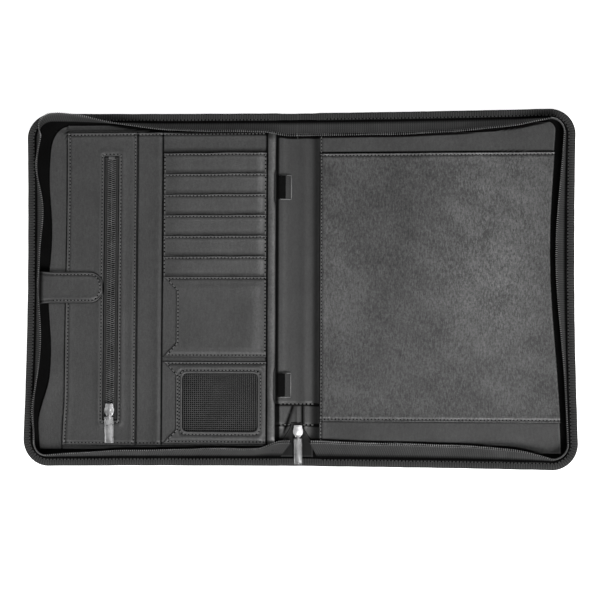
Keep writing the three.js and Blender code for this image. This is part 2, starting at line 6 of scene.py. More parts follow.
import bmesh
import bpy
import numpy as np
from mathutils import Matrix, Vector


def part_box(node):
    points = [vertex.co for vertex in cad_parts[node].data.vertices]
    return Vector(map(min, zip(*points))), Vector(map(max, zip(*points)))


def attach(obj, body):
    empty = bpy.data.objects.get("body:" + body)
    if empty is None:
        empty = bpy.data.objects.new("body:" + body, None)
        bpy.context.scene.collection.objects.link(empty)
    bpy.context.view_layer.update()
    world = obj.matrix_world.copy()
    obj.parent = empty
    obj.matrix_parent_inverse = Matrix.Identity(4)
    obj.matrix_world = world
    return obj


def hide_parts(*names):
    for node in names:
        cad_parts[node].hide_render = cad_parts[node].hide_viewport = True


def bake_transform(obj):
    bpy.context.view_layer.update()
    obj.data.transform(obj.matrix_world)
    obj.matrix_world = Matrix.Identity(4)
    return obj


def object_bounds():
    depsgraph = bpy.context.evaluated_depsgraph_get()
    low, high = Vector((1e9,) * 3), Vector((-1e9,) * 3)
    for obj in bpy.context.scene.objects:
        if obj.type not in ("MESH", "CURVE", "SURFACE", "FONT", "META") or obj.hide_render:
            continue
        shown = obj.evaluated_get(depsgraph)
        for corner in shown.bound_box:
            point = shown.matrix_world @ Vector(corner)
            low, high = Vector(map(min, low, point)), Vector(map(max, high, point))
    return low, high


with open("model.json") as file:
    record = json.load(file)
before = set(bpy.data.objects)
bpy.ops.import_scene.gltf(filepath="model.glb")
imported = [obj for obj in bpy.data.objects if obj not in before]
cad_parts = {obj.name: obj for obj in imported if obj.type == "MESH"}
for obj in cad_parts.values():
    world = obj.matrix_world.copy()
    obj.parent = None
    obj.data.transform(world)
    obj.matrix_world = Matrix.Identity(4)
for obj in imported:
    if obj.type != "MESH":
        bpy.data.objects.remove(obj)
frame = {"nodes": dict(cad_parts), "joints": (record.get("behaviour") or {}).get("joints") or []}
cad_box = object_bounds()

MM = 0.001

# ---- camera ----

# Place in metres and lens in millimetres, fitted to the photo's view.
CAMERA_AT = (0.1068, -0.0691, 1.36)
CAMERA_TURN_DEG = (2.45, 4.38, 0.19)
LENS = 84.9

camera = bpy.data.objects.new("camera", bpy.data.cameras.new("camera"))
camera.data.lens = LENS
camera.data.sensor_width = 36
camera.location = CAMERA_AT
camera.rotation_euler = [math.radians(a) for a in CAMERA_TURN_DEG]
bpy.context.collection.objects.link(camera)
bpy.context.scene.camera = camera


# ---- places taken from the frame ----


def span(node):
    """Lowest and highest x, y and z of a CAD node: (x0, x1, y0, y1, z0, z1)."""
    low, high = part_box(node)
    return [v / MM for pair in zip(low, high) for v in pair]


HALF_W = cad_box[1][0] / MM
HALF_H = cad_box[1][1] / MM
CORNER_R = 23
BINDING_W = 8
COVER_TOP = 5.4
SPINE_TOP = 2.7
# How far the two hinges are from mid-spine, and how high.
HINGE = 17
# Distances from mid-spine between which the leather and the zip tapes bend.
FOLD = (10, 24)
# How far in from an edge its seam runs: on a long edge, on a pocket's lip and on a pocket's side.
SEAM = 2.4
LIP_SEAM = 1.7
SIDE_SEAM = 1.3
SIDES = {"left": -1, "right": 1}


# ---- smooth fields ----


def ease(t):
    t = np.clip(t, 0, 1)
    return t * t * (3 - 2 * t)


def hump(t):
    return np.exp(-t * t)


def humps(at, *spots):
    """A sum of humps, each given as (height, middle, width)."""
    return sum(height * hump((at - middle) / width) for height, middle, width in spots)


def level(x, y):
    """A field that is 0 everywhere."""
    return 0 * x


def waves(seed, length, count=9):
    """A smooth irregular field of x and y, from about -1 to 1, with bumps about that long."""
    rng = np.random.default_rng(seed)
    angle = rng.uniform(0, 2 * math.pi, count)
    k = 2 * math.pi / (length * rng.uniform(0.7, 1.8, count))
    phase = rng.uniform(0, 2 * math.pi, count)

    def field(x, y):
        total = 0.0
        for a, f, p in zip(angle, k, phase):
            total = total + np.sin(f * (np.cos(a) * x + np.sin(a) * y) + p)
        return total / count * 1.6

    return field


# ---- meshes ----


def smooth(mesh, degrees):
    """Smooth shading, apart from edges sharper than that angle."""
    mesh.polygons.foreach_set("use_smooth", [True] * len(mesh.polygons))
    mesh.set_sharp_from_angle(angle=math.radians(degrees))


def piece(name, points, faces, material, cloth=None, painted_light=None):
    """A mesh object from points in millimetres. cloth is where each point lies in its fabric.

    The last argument is painted light for each point: painted shade below 0, in creases, gaps and under
    overhanging pieces, and painted highlights above 0 on ridges and edges.
    """
    mesh = bpy.data.meshes.new(name)
    mesh.from_pydata((np.asarray(points, float) * MM).tolist(), [], faces)
    if cloth is not None:
        attribute = mesh.attributes.new("cloth", "FLOAT_VECTOR", "POINT")
        flat = np.zeros((len(points), 3), np.float32)
        flat[:, :2] = np.asarray(cloth) * MM
        attribute.data.foreach_set("vector", flat.ravel())
    if painted_light is not None:
        attribute = mesh.attributes.new("painted_light", "FLOAT", "POINT")
        attribute.data.foreach_set("value", np.asarray(painted_light, np.float32).ravel())
    bm = bmesh.new()
    bm.from_mesh(mesh)
    bmesh.ops.recalc_face_normals(bm, faces=bm.faces)
    bm.to_mesh(mesh)
    bm.free()
    smooth(mesh, 50)
    mesh.materials.append(material)
    obj = bpy.data.objects.new(name, mesh)
    bpy.context.collection.objects.link(obj)
    return obj


def slab(name, top, bottom, material, kept=None, painted_light=None):
    """A closed sheet between two grids of points. kept says which cells of the grid are there."""
    n, m = top.shape[:2]
    kept = np.ones((n - 1, m - 1), bool) if kept is None else kept
    low = n * m
    at = np.arange(low).reshape(n, m)
    faces = []
    beside = np.pad(kept, 1)
    for i, j in zip(*np.nonzero(kept)):
        a, b, c, d = int(at[i, j]), int(at[i + 1, j]), int(at[i + 1, j + 1]), int(at[i, j + 1])
        faces.append((a, b, c, d))
        faces.append((d + low, c + low, b + low, a + low))
        if not beside[i + 1, j]:
            faces.append((a, a + low, b + low, b))
        if not beside[i + 1, j + 2]:
            faces.append((c, c + low, d + low, d))
        if not beside[i, j + 1]:
            faces.append((d, d + low, a + low, a))
        if not beside[i + 2, j + 1]:
            faces.append((b, b + low, c + low, c))
    points = np.concatenate([top.reshape(-1, 3), bottom.reshape(-1, 3)])
    used = np.zeros(len(points), bool)
    used[np.concatenate([np.asarray(f) for f in faces])] = True
    new = np.cumsum(used) - 1
    faces = [tuple(int(new[v]) for v in f) for f in faces]
    points = points[used]
    # The undersides of a slab get full painted shade.
    if painted_light is not None:
        painted_light = np.concatenate([painted_light.ravel(), np.full(low, -1.0)])[used]
    return piece(name, points, faces, material, cloth=points[:, :2], painted_light=painted_light)


def travelled(points):
    """How far along the line each of its points is."""
    steps = np.linalg.norm(np.diff(points, axis=0), axis=1)
    return np.concatenate([[0], np.cumsum(steps)])


def tube(name, rings, material, painted_light=None):
    """A closed body through rings of points, capped at both ends."""
    n, k = rings.shape[:2]
    faces = []
    for i in range(n - 1):
        for j in range(k):
            a, b = i * k + j, i * k + (j + 1) % k
            faces.append((a, b, b + k, a + k))
    faces.append(tuple(range(k)))
    faces.append(tuple(range((n - 1) * k, n * k)))
    along, across = travelled(rings.mean(axis=1)), travelled(rings[n // 2])
    cloth = np.stack(np.meshgrid(along, across, indexing="ij"), axis=-1).reshape(-1, 2)
    if painted_light is not None:
        painted_light = np.broadcast_to(np.asarray(painted_light, float), (n, k)).copy()
    return piece(name, rings.reshape(-1, 3), faces, material, cloth=cloth, painted_light=painted_light)


def capsules(name, starts, ends, radius, material, flat=1.0, sides=6):
    """Many short rounded rods in one mesh, such as stitches or zip teeth."""
    starts, ends = np.asarray(starts, float), np.asarray(ends, float)
    along = ends - starts
    along /= np.linalg.norm(along, axis=1, keepdims=True)
    wide = np.cross((0.0, 0.0, 1.0), along)
    wide /= np.linalg.norm(wide, axis=1, keepdims=True)
    tall = np.cross(along, wide)
    # Rings at these shares of the length have these shares of the radius.
    places = (0.0, 0.13, 0.5, 0.87, 1.0)
    sizes = (0.4, 0.9, 1.0, 0.9, 0.4)
    angles = np.arange(sides) / sides * 2 * math.pi
    rings = []
    for t, size in zip(places, sizes):
        centre = starts + (ends - starts) * t
        for a in angles:
            off = np.cos(a) * wide + flat * np.sin(a) * tall
            rings.append(centre + off * radius * size)
    points = np.stack(rings, axis=1)
    count = len(places) * sides
    pattern = []
    for i in range(len(places) - 1):
        for j in range(sides):
            a, b = i * sides + j, i * sides + (j + 1) % sides
            pattern.append((a, b, b + sides, a + sides))
    pattern.append(tuple(range(sides)))
    pattern.append(tuple(range(count - sides, count)))
    faces = [tuple(v + i * count for v in f) for i in range(len(points)) for f in pattern]
    flat_points = points.reshape(-1, 3)
    return piece(name, flat_points, faces, material, cloth=flat_points[:, :2])


def outlined(name, outline, z0, z1, material, bevel=0.3):
    """A solid of that outline, with rounded rims."""
    points = [(x, y, z0) for x, y in outline] + [(x, y, z1) for x, y in outline]
    n = len(outline)
    faces = [tuple(range(n)), tuple(range(n, 2 * n))]
    faces += [(i, (i + 1) % n, n + (i + 1) % n, n + i) for i in range(n)]
    obj = piece(name, points, faces, material, cloth=[p[:2] for p in points])
    bm = bmesh.new()
    bm.from_mesh(obj.data)
    rims = [e for e in bm.edges if abs(e.verts[0].co.z - e.verts[1].co.z) < 1e-7]
    bmesh.ops.bevel(bm, geom=rims, offset=bevel * MM, segments=3, affect="EDGES", profile=0.5)
    bm.to_mesh(obj.data)
    bm.free()
    smooth(obj.data, 40)
    return obj


def joined(name, parts):
    """One object made of several, keeping the first one's material."""
    bm = bmesh.new()
    for part in parts:
        part.data.transform(part.matrix_world)
        bm.from_mesh(part.data)
    target = parts[0]
    bm.to_mesh(target.data)
    bm.free()
    for part in parts[1:]:
        bpy.data.objects.remove(part)
    target.name = name
    target.data.name = name
    return target


# ---- materials ----


class Nodes:
    """A short way to write a material's nodes."""

    def __init__(self, name):
        self.material = bpy.data.materials.new(name)
        self.material.use_nodes = True
        self.tree = self.material.node_tree
        self.shader = next(n for n in self.tree.nodes if n.type == "BSDF_PRINCIPLED")

    def node(self, kind, inputs=(), **settings):
        node = self.tree.nodes.new(kind)
        for key, value in settings.items():
            setattr(node, key, value)
        for key, value in dict(inputs).items():
            if isinstance(value, bpy.types.NodeSocket):
                self.tree.links.new(value, node.inputs[key])
            else:
                node.inputs[key].default_value = value
        return node

    def place(self):
        return self.node("ShaderNodeTexCoord").outputs["Object"]

    def cloth(self):
        return self.node("ShaderNodeAttribute", attribute_name="cloth").outputs["Vector"]

    def stretched(self, vector, scale):
        inputs = {"Vector": vector, "Scale": scale}
        return self.node("ShaderNodeMapping", inputs).outputs["Vector"]

    def noise(self, vector, size_mm, detail=3, roughness=0.55, distortion=0.0):
        inputs = {"Vector": vector, "Scale": 1 / (size_mm * MM), "Detail": detail,
                  "Roughness": roughness, "Distortion": distortion}
        return self.node("ShaderNodeTexNoise", inputs).outputs["Fac"]

    def cells(self, vector, size_mm, feature="F1"):
        inputs = {"Vector": vector, "Scale": 1 / (size_mm * MM), "Randomness": 1.0}
        node = self.node("ShaderNodeTexVoronoi", inputs, feature=feature)
        return node.outputs["Distance"]

    def math(self, operation, a, b=0.0):
        return self.node("ShaderNodeMath", {0: a, 1: b}, operation=operation).outputs[0]

    def vector(self, operation, inputs):
        return self.node("ShaderNodeVectorMath", inputs, operation=operation).outputs[0]

    def mixed(self, *parts):
        """The sum of (value, weight) pairs."""
        total = None
        for value, weight in parts:
            part = value if weight == 1 else self.math("MULTIPLY", value, weight)
            total = part if total is None else self.math("ADD", total, part)
        return total

    def wave(self, value, pitch_mm):
        turn = 2 * math.pi / (pitch_mm * MM)
        return self.math("SINE", self.math("MULTIPLY", value, turn))

    def scaled(self, value, low, high, start=0.0, end=1.0):
        inputs = {"Value": value, "From Min": start, "From Max": end, "To Min": low, "To Max": high}
        return self.node("ShaderNodeMapRange", inputs).outputs["Result"]

    def ramp(self, value, *stops):
        """Colours at their places along the value. A single number is a grey."""
        node = self.node("ShaderNodeValToRGB", {"Fac": value})
        ramp = node.color_ramp
        while len(ramp.elements) < len(stops):
            ramp.elements.new(0.5)
        for element, (at, tone) in zip(ramp.elements, stops):
            element.position = at
            element.color = (*tone, 1) if isinstance(tone, tuple) else (tone, tone, tone, 1)
        return node.outputs["Color"]

    # The point attribute of painted shade and painted highlights.
    def painted_light(self):
        return self.node("ShaderNodeAttribute", attribute_name="painted_light").outputs["Fac"]

    def shaded(self, colour):
        """That colour, darker where shade is painted and lighter where highlights are painted."""
        below = self.scaled(self.painted_light(), 0.06, 1, -1, 0)
        above = self.scaled(self.painted_light(), 0, 1.05, 0, 1)
        return self.vector("SCALE", {0: colour, "Scale": self.math("ADD", below, above)})

    def bumps(self, *layers):
        """Bump layers of (height, distance in millimetres, strength), one on the other."""
        normal = None
        for height, distance, strength in layers:
            inputs = {"Height": height, "Distance": distance * MM, "Strength": strength}
            if normal is not None:
                inputs["Normal"] = normal
            normal = self.node("ShaderNodeBump", inputs).outputs["Normal"]
        self.tree.links.new(normal, self.shader.inputs["Normal"])

    def set(self, **values):
        for key, value in values.items():
            socket = self.shader.inputs[key.replace("_", " ")]
            if isinstance(value, bpy.types.NodeSocket):
                self.tree.links.new(value, socket)
            else:
                socket.default_value = value
        return self.material


def leather(name, tone, rough=0.5, streaks=0.0, grain=0.9, contrast=1.0, mottling=3.6):
    """Smooth cowhide: a pebbled grain, fine creases and slow changes of tone."""
    m = Nodes(name)
    at = m.place()
    slow = m.noise(at, 38, detail=4)
    mottle = m.noise(m.stretched(at, (1.7, 0.6, 1)), mottling, detail=5, roughness=0.65,
                     distortion=0.5)
    pitted = m.noise(at, 1.9, detail=4, roughness=0.7)
    pebbles = m.cells(at, grain)
    pores = m.noise(at, 0.45, detail=2)
    wander = m.node("ShaderNodeTexNoise", {"Vector": at, "Scale": 160.0}).outputs["Color"]
    bent_at = m.vector("ADD", {0: at, 1: m.vector("SCALE", {0: wander, "Scale": 0.004})})
    crease = m.scaled(m.cells(bent_at, 4.2, feature="DISTANCE_TO_EDGE"), 0, 1, 0, 0.16)
    patches = m.mixed((slow, 0.3), (mottle, 0.3 + streaks), (pitted, 0.4))
    if streaks:
        wrinkle = m.noise(m.stretched(at, (2.6, 0.7, 1)), 2.3, detail=3, distortion=0.8)
        patches = m.math("ADD", patches, m.scaled(wrinkle, -streaks, 0, 0.2, 0.8))
    patches = m.math("ADD", patches, m.scaled(pebbles, 0.03, -0.03))
    low, high = tone * (1 - 0.32 * contrast), tone * (1 + 0.36 * contrast)
    # Painted shade and painted highlights scale this colour.
    colour = m.shaded(m.ramp(patches, (0.38, low), (0.5, tone), (0.62, high)))
    swing = 0.06 + streaks * 0.3
    gloss = m.scaled(mottle, rough + swing, rough - swing, 0.3, 0.7)
    m.bumps((slow, 1.2, 0.25), (mottle, 0.3 + streaks, 0.4), (crease, 0.06, 0.5),
            (pitted, 0.22, 0.45), (pebbles, 0.1, 0.7), (pores, 0.03, 0.4))
    # Less specular where shade is painted.
    shine = m.scaled(m.painted_light(), 0.03, 0.5, -1, 0)
    return m.set(Base_Color=colour, Roughness=gloss, Specular_IOR_Level=shine)


def woven(name, tone, pitch=0.7, rough=0.88, slant=0.0, depth=0.16, ribs=0.1, gloss=0.22):
    """Close woven tape: threads cross along and across the piece's own directions."""
    m = Nodes(name)
    parts = m.node("ShaderNodeSeparateXYZ", {"Vector": m.cloth()})
    u, v = parts.outputs["X"], parts.outputs["Y"]
    warp = m.wave(m.mixed((u, 1), (v, slant)), pitch)
    weft = m.wave(v, pitch / 1.15)
    threads = m.mixed((warp, ribs), (m.math("MULTIPLY", warp, weft), 1 - ribs))
    threads = m.scaled(threads, 0, 1, -1, 1)
    fuzz = m.noise(m.place(), 0.35, detail=3)
    dust = m.noise(m.place(), 14, detail=4)
    shade = m.mixed((threads, 0.55), (fuzz, 0.25), (dust, 0.3))
    # Painted shade and painted highlights scale this colour.
    colour = m.shaded(m.ramp(shade, (0.2, tone * 0.35), (0.55, tone), (0.9, tone * 2.2)))
    # Less specular where shade is painted.
    shine = m.scaled(m.painted_light(), 0.02, gloss, -1, 0)
    m.bumps((dust, 0.3, 0.3), (threads, depth, 0.8), (fuzz, 0.06, 0.5))
    return m.set(Base_Color=colour, Roughness=m.scaled(fuzz, rough - 0.08, rough + 0.08),
                 Specular_IOR_Level=shine, Sheen_Weight=0.01, Sheen_Roughness=0.4)


def elastic(name, tone):
    """Ribbed elastic webbing."""
    m = Nodes(name)
    parts = m.node("ShaderNodeSeparateXYZ", {"Vector": m.cloth()})
    ribs, knit = m.wave(parts.outputs["X"], 1.1), m.wave(parts.outputs["Y"], 0.5)
    fuzz = m.noise(m.place(), 0.4, detail=3)
    height = m.scaled(m.mixed((ribs, 1), (knit, 0.35)), 0, 1, -1.3, 1.3)
    shade = m.mixed((height, 0.6), (fuzz, 0.4))
    colour = m.ramp(shade, (0.25, tone * 0.4), (0.6, tone), (0.85, tone * 1.8))
    m.bumps((height, 0.22, 0.9), (fuzz, 0.05, 0.5))
    return m.set(Base_Color=colour, Roughness=m.scaled(fuzz, 0.7, 0.9), Specular_IOR_Level=0.04)


def plastic(name, tone, rough):
    """Moulded nylon with a faint handled look."""
    m = Nodes(name)
    fine = m.noise(m.place(), 0.6, detail=3)
    slow = m.noise(m.place(), 9, detail=3)
    m.bumps((fine, 0.03, 0.5))
    return m.set(Base_Color=m.ramp(slow, (0.35, tone * 0.7), (0.65, tone * 1.4)),
                 Roughness=m.scaled(fine, rough - 0.08, rough + 0.12))


def metal(name, tone, rough):
    """Satin plated casting with fine brushing and light scratches, slightly cold in colour."""
    m = Nodes(name)
    brushed = m.noise(m.stretched(m.place(), (14, 0.5, 14)), 2.4, detail=4)
    cloudy = m.noise(m.place(), 5, detail=3)
    marks = m.noise(m.stretched(m.place(), (1, 9, 3)), 1.4, detail=2)
    dark, light = ((t, t, t * 1.01) for t in (tone * 0.88, tone * 1.08))
    m.bumps((brushed, 0.02, 0.4), (marks, 0.02, 0.25))
    gloss = m.scaled(m.math("ADD", brushed, cloudy), rough - 0.08, rough + 0.12, 0.6, 1.4)
    return m.set(Base_Color=m.ramp(cloudy, (0.3, dark), (0.7, light)), Metallic=1.0,
                 Roughness=gloss)


def pulp(name, tone, size):
    """Grey board or foam: a fine uneven surface."""
    m = Nodes(name)
    fine = m.noise(m.place(), size, detail=4)
    slow = m.noise(m.place(), size * 14, detail=3)
    mix = m.mixed((fine, 0.5), (slow, 0.5))
    dark, light = (tuple(c * share for c in tone) for share in (0.75, 1.2))
    m.bumps((fine, size * 0.3, 0.6))
    return m.set(Base_Color=m.ramp(mix, (0.35, dark), (0.65, light)),
                 Roughness=m.scaled(fine, 0.85, 0.95))


LEATHER = leather("inner_leather", 0.022, contrast=1.35)
# A lighter copy of the inner leather for the roll: painted light on its rounded form.
ROLL_LEATHER = leather("roll_leather", 0.034, rough=0.4, contrast=1.5)
PAD_LEATHER = leather("pad_leather", 0.038, rough=0.42, streaks=0.24, grain=1.1, contrast=2.2,
                      mottling=2.4)
OUTER_LEATHER = leather("outer_leather", 0.020, rough=0.46, grain=1.2)
SPINE_LEATHER = leather("spine_leather", 0.018, rough=0.52)
BINDING = woven("binding_fabric", 0.020, pitch=2.3, depth=0.3, ribs=0.75)
TAPE = woven("zip_tape_fabric", 0.025, pitch=2.1, depth=0.12, ribs=0.5)
WEB = woven("spine_end_fabric", 0.012, pitch=1.7, depth=0.12)
LINING = woven("lining_fabric", 0.003, pitch=0.6, gloss=0.03)
HOLLOW = woven("needle_hole_shade", 0.001, pitch=0.4, gloss=0.02)
NET = woven("net_fabric", 0.045, pitch=0.5, rough=0.7)
# Painted highlights on the pen loops: a light bead along their edges and a lighter strip over their
# right slopes.
LOOP_HIGHLIGHT_BEAD = woven("loop_highlight_bead", 0.16, pitch=0.5, rough=0.7)
LOOP_HIGHLIGHT_STRIP = woven("loop_highlight_strip", 0.035, pitch=0.9)
EDGE_THREAD = woven("edge_thread", 0.035, pitch=0.35, rough=0.7, slant=1.0)
THREAD = woven("thread", 0.10, pitch=0.35, rough=0.7, slant=1.0)
ELASTIC = elastic("elastic_webbing", 0.004)
COIL = plastic("coil_nylon", 0.07, rough=0.3)
TEETH = plastic("tooth_nylon", 0.14, rough=0.35)
# One plated metal in three tones: the two darker copies are painted shade, on the inner zip's slider
# and pull and on the main pull.
METAL = metal("satin_metal", 0.6, rough=0.4)
HALF_SHADED_METAL = metal("half_shaded_metal", 0.46, rough=0.3)
SHADED_METAL = metal("shaded_metal", 0.2, rough=0.3)
FOAM = pulp("foam", (0.08, 0.08, 0.08), 0.8)
BOARD = pulp("grey_board", (0.25, 0.19, 0.13), 0.5)


# ---- the body that each piece moves with ----


def fixed(obj, body, nodes):
    """A piece on one body, standing for those CAD nodes."""
    settle(nodes)
    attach(obj, body)
    return obj


def bent(obj, nodes):
    """A piece that crosses the fold between the spine and one cover."""
    settle(nodes)
    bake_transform(obj)
    return obj


def settle(nodes):
    """Hides the CAD nodes that a piece stands for."""
    if nodes:
        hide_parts(*nodes)


def cloth(obj, width, length, held, rests_on, area=None, with_pieces=()):
    """Takes the size that a sheet was cut to, in millimetres, and does nothing with it."""


# ---- sewn sheets ----

# How far the close grid lines are from an edge or a mark.
FINE = (0, 0.12, 0.35, 0.7, 1.2, 1.8, 2.3, 2.8, 3.3, 4.0, 5.2, 7)


def lines(low, high, step, marks=()):
    """Grid lines from low to high, close together near both ends and near each mark."""
    found = {low, high, *np.linspace(low, high, max(2, int((high - low) / step) + 1))}
    for mark in (low, high, *marks):
        found.update(mark + s * f for f in FINE for s in (-1, 1) if low < mark + s * f < high)
    kept = []
    for value in sorted(found):
        if not kept or value - kept[-1] > 0.08:
            kept.append(value)
    kept[-1] = high
    return np.array(kept)


class Sheet:
    """A sewn panel with turned edges. Each edge is a number or a function of the other direction.

    relief(x, y) raises its upper face, shade(x, y) is painted shade on it (a painted highlight where
    below 0) and eaves scales its painted shade under the zip tape. The edges and the hole go by l, r,
    b, t and h.
    turned says which edges are turned in, and stitched how far in their seams run.
    """

    def __init__(self, left, right, bottom, top, z, thick, relief=level, turned="lrbt",
                 stitched=(), hole=None, hole_r=0.0, rim=0.9, ridge=0.9, shade=level, eaves=1.6):
        self.left, self.right, self.bottom, self.top = (
            e if callable(e) else (lambda t, e=e: e + 0 * t) for e in (left, right, bottom, top))
        self.z, self.thick, self.relief, self.shade = z, thick, relief, shade
        self.turned, self.stitched = turned + "h", dict(stitched)
        self.hole, self.hole_r = hole, hole_r
        self.rim, self.ridge, self.eaves = rim, ridge, eaves

    def distances(self, x, y):
        """How far in from each edge that is, and how far from the hole."""
        found = {"l": x - self.left(y), "r": self.right(y) - x,
                 "b": y - self.bottom(x), "t": self.top(x) - y}
        if self.hole is not None:
            x0, x1, y0, y1 = self.hole
            dx = np.maximum(np.maximum(x0 - x, x - x1), 0)
            dy = np.maximum(np.maximum(y0 - y, y - y1), 0)
            found["h"] = np.hypot(dx, dy)
        return found.items()

    def height(self, x, y):
        """Height of the upper face: rounded at turned edges, sunk at seams and raised beside them."""
        x, y = np.asarray(x, float), np.asarray(y, float)
        z = self.z + self.thick + self.relief(x, y)
        for key, d in self.distances(x, y):
            if key in self.turned:
                t = np.clip(d / self.rim, 0, 1)
                z = z - self.thick * 0.85 * (1 - np.sqrt(1 - (1 - t) ** 2))
            if key in self.stitched:
                inset = self.stitched[key]
                z = z + humps(d, (-0.42, inset, 0.8), (0.2, inset * 0.45, 0.7),
                              (0.3, inset + 2.6, 1.7))
        return z

    def painted_light(self, x, y):
        """Painted shade along the turned edges, the seams and under the zip tape, and a painted
        highlight on the ridge between edge and seam.
        """
        total = 0 * x
        for key, d in self.distances(x, y):
            if key in self.turned:
                total = total + humps(d, (-1.3, 0, 0.5), (self.ridge, 1.15, 0.55))
            if key in self.stitched:
                total = total - 0.45 * hump((d - self.stitched[key]) / 0.8)
        total = total - self.shade(x, y) - self.eaves * under_tape(x, y)
        return np.clip(total, -1, 1)

    def build(self, name, material, step=5.0, marks_x=(), marks_y=()):
        centre = (float(self.left(0.0)) + float(self.right(0.0))) / 2
        ends = (float(self.bottom(centre)), float(self.top(centre)))
        halfway = (ends[0] + ends[1]) / 2
        middle = (float(self.left(halfway)), float(self.right(halfway)))
        hole = self.hole or ()
        xs = lines(*middle, step, (*marks_x, *hole[:2]))
        ys = lines(*ends, step, (*marks_y, *hole[2:]))
        s = (xs - middle[0]) / (middle[1] - middle[0])
        x, y = np.meshgrid(xs, ys, indexing="ij")
        share = (y - ends[0]) / (ends[1] - ends[0])
        y = self.bottom(x) + (self.top(x) - self.bottom(x)) * share
        left, right = self.left(y), self.right(y)
        x = left + (right - left) * s[:, None]
        painted_light = self.painted_light(x, y)
        top = np.stack([x, y, self.height(x, y)], axis=-1)
        under = self.z + np.minimum(self.relief(x, y), self.thick * 4)
        under = np.minimum(under, top[..., 2] - self.thick * 0.1)
        bottom = np.stack([x, y, under], axis=-1)
        kept = None
        if hole:
            x0, x1, y0, y1 = hole
            mid_x, mid_y = ((v[:-1, :-1] + v[1:, 1:]) / 2 for v in (x, y))
            kept = ~((mid_x > x0) & (mid_x < x1) & (mid_y > y0) & (mid_y < y1))
            shift = round_corners(x, y, hole, self.hole_r)
            top[..., :2] += shift
            bottom[..., :2] += shift
        return slab(name, top, bottom, material, kept, painted_light)


def sewn(sheet, name, node, size, rests_on, area=None, body="left_cover", material=LEATHER,
         slot="inner_leather", **grid):
    """Builds a sewn panel that stands for one CAD node and was cut to that size."""
    obj = fixed(sheet.build(name, material, **grid), body, [node])
    cloth(obj, *size, "stretched", rests_on, area)
    return obj


def round_corners(x, y, hole, radius):
    """How far points near a rectangular hole move so that its corners become round."""
    shift = np.zeros((*x.shape, 2))
    if radius <= 0:
        return shift
    fades_over = 5
    x0, x1, y0, y1 = hole
    for cx, sx in ((x0, 1), (x1, -1)):
        for cy, sy in ((y0, 1), (y1, -1)):
            tx, ty = (x - cx) * sx, (y - cy) * sy
            on_upright = (tx <= 1e-6) & (ty > 0) & (ty <= radius)
            on_level = (ty <= 1e-6) & (tx > 0) & (tx <= radius)
            on_corner = (tx <= 1e-6) & (ty <= 1e-6)
            for where, t, off, swap in (
                (on_upright, ty, -tx, False), (on_level, tx, -ty, True),
                (on_corner, 0 * tx, np.hypot(tx, ty), False),
            ):
                phi = math.pi / 4 * (1 - t / radius)
                across = radius * (1 - np.cos(phi))
                along = radius * (1 - np.sin(phi)) - t
                fade = np.clip(1 - off / fades_over, 0, 1) ** 2 * where
                dx, dy = (along, across) if swap else (across, along)
                shift[..., 0] += sx * dx * fade
                shift[..., 1] += sy * dy * fade
    return shift


# ---- stitches ----

# Length of a stitch and of the gap to the next one, and radii of the thread and the needle holes.
STITCH = 2.1
STITCH_GAP = 1.3
THREAD_R = 0.46
HOLE_R = 0.72
runs = {}


def sew(body, sheet, points, kind="panel"):
    """Adds a run of stitches on a sheet, along a line of (x, y) points."""
    pitch = STITCH + STITCH_GAP
    points = np.asarray(points, float)
    along = travelled(points)
    count = max(1, int(along[-1] / pitch))
    starts = (np.arange(count) + 0.15) * along[-1] / count
    ends = starts + along[-1] / count * STITCH / pitch
    pairs = []
    for at in (starts, ends):
        x = np.interp(at, along, points[:, 0])
        y = np.interp(at, along, points[:, 1])
        z = sheet.height(x, y) + 0.05 if hasattr(sheet, "height") else sheet(x, y)
        pairs.append(np.stack([x, y, z + 0 * x], axis=-1))
    runs.setdefault((body, kind), []).append(pairs)


def straight(x0, y0, x1, y1):
    return np.linspace((x0, y0), (x1, y1), 40)


def seam(sheet, x0, y0, x1, y1, body="left_cover"):
    sew(body, sheet, straight(x0, y0, x1, y1))


def make_stitches():
    """One mesh of stitches and one of needle holes for each body's seams."""
    for (body, kind), pairs in runs.items():
        thread = EDGE_THREAD if kind == "edge" else THREAD
        starts = np.concatenate([p[0] for p in pairs])
        ends = np.concatenate([p[1] for p in pairs])
        obj = capsules(f"{body}_{kind}_stitching", starts, ends, THREAD_R, thread, flat=0.7)
        fixed(obj, body, [])
        along = (ends - starts) / np.linalg.norm(ends - starts, axis=1, keepdims=True)
        middle = ends + along * STITCH_GAP / 2
        low = middle - along * HOLE_R - (0, 0, 0.1)
        high = middle + along * HOLE_R - (0, 0, 0.1)
        holes = capsules(f"{body}_{kind}_needle_holes", low, high, HOLE_R, HOLLOW, flat=0.45)
        fixed(holes, body, [])


# ---- the edge of a cover ----

# How far the soft edge bulges past the CAD outline at the corners, and at the bottom.
CORNER_SWELL = 1.8
LOW_SWELL = 0.8


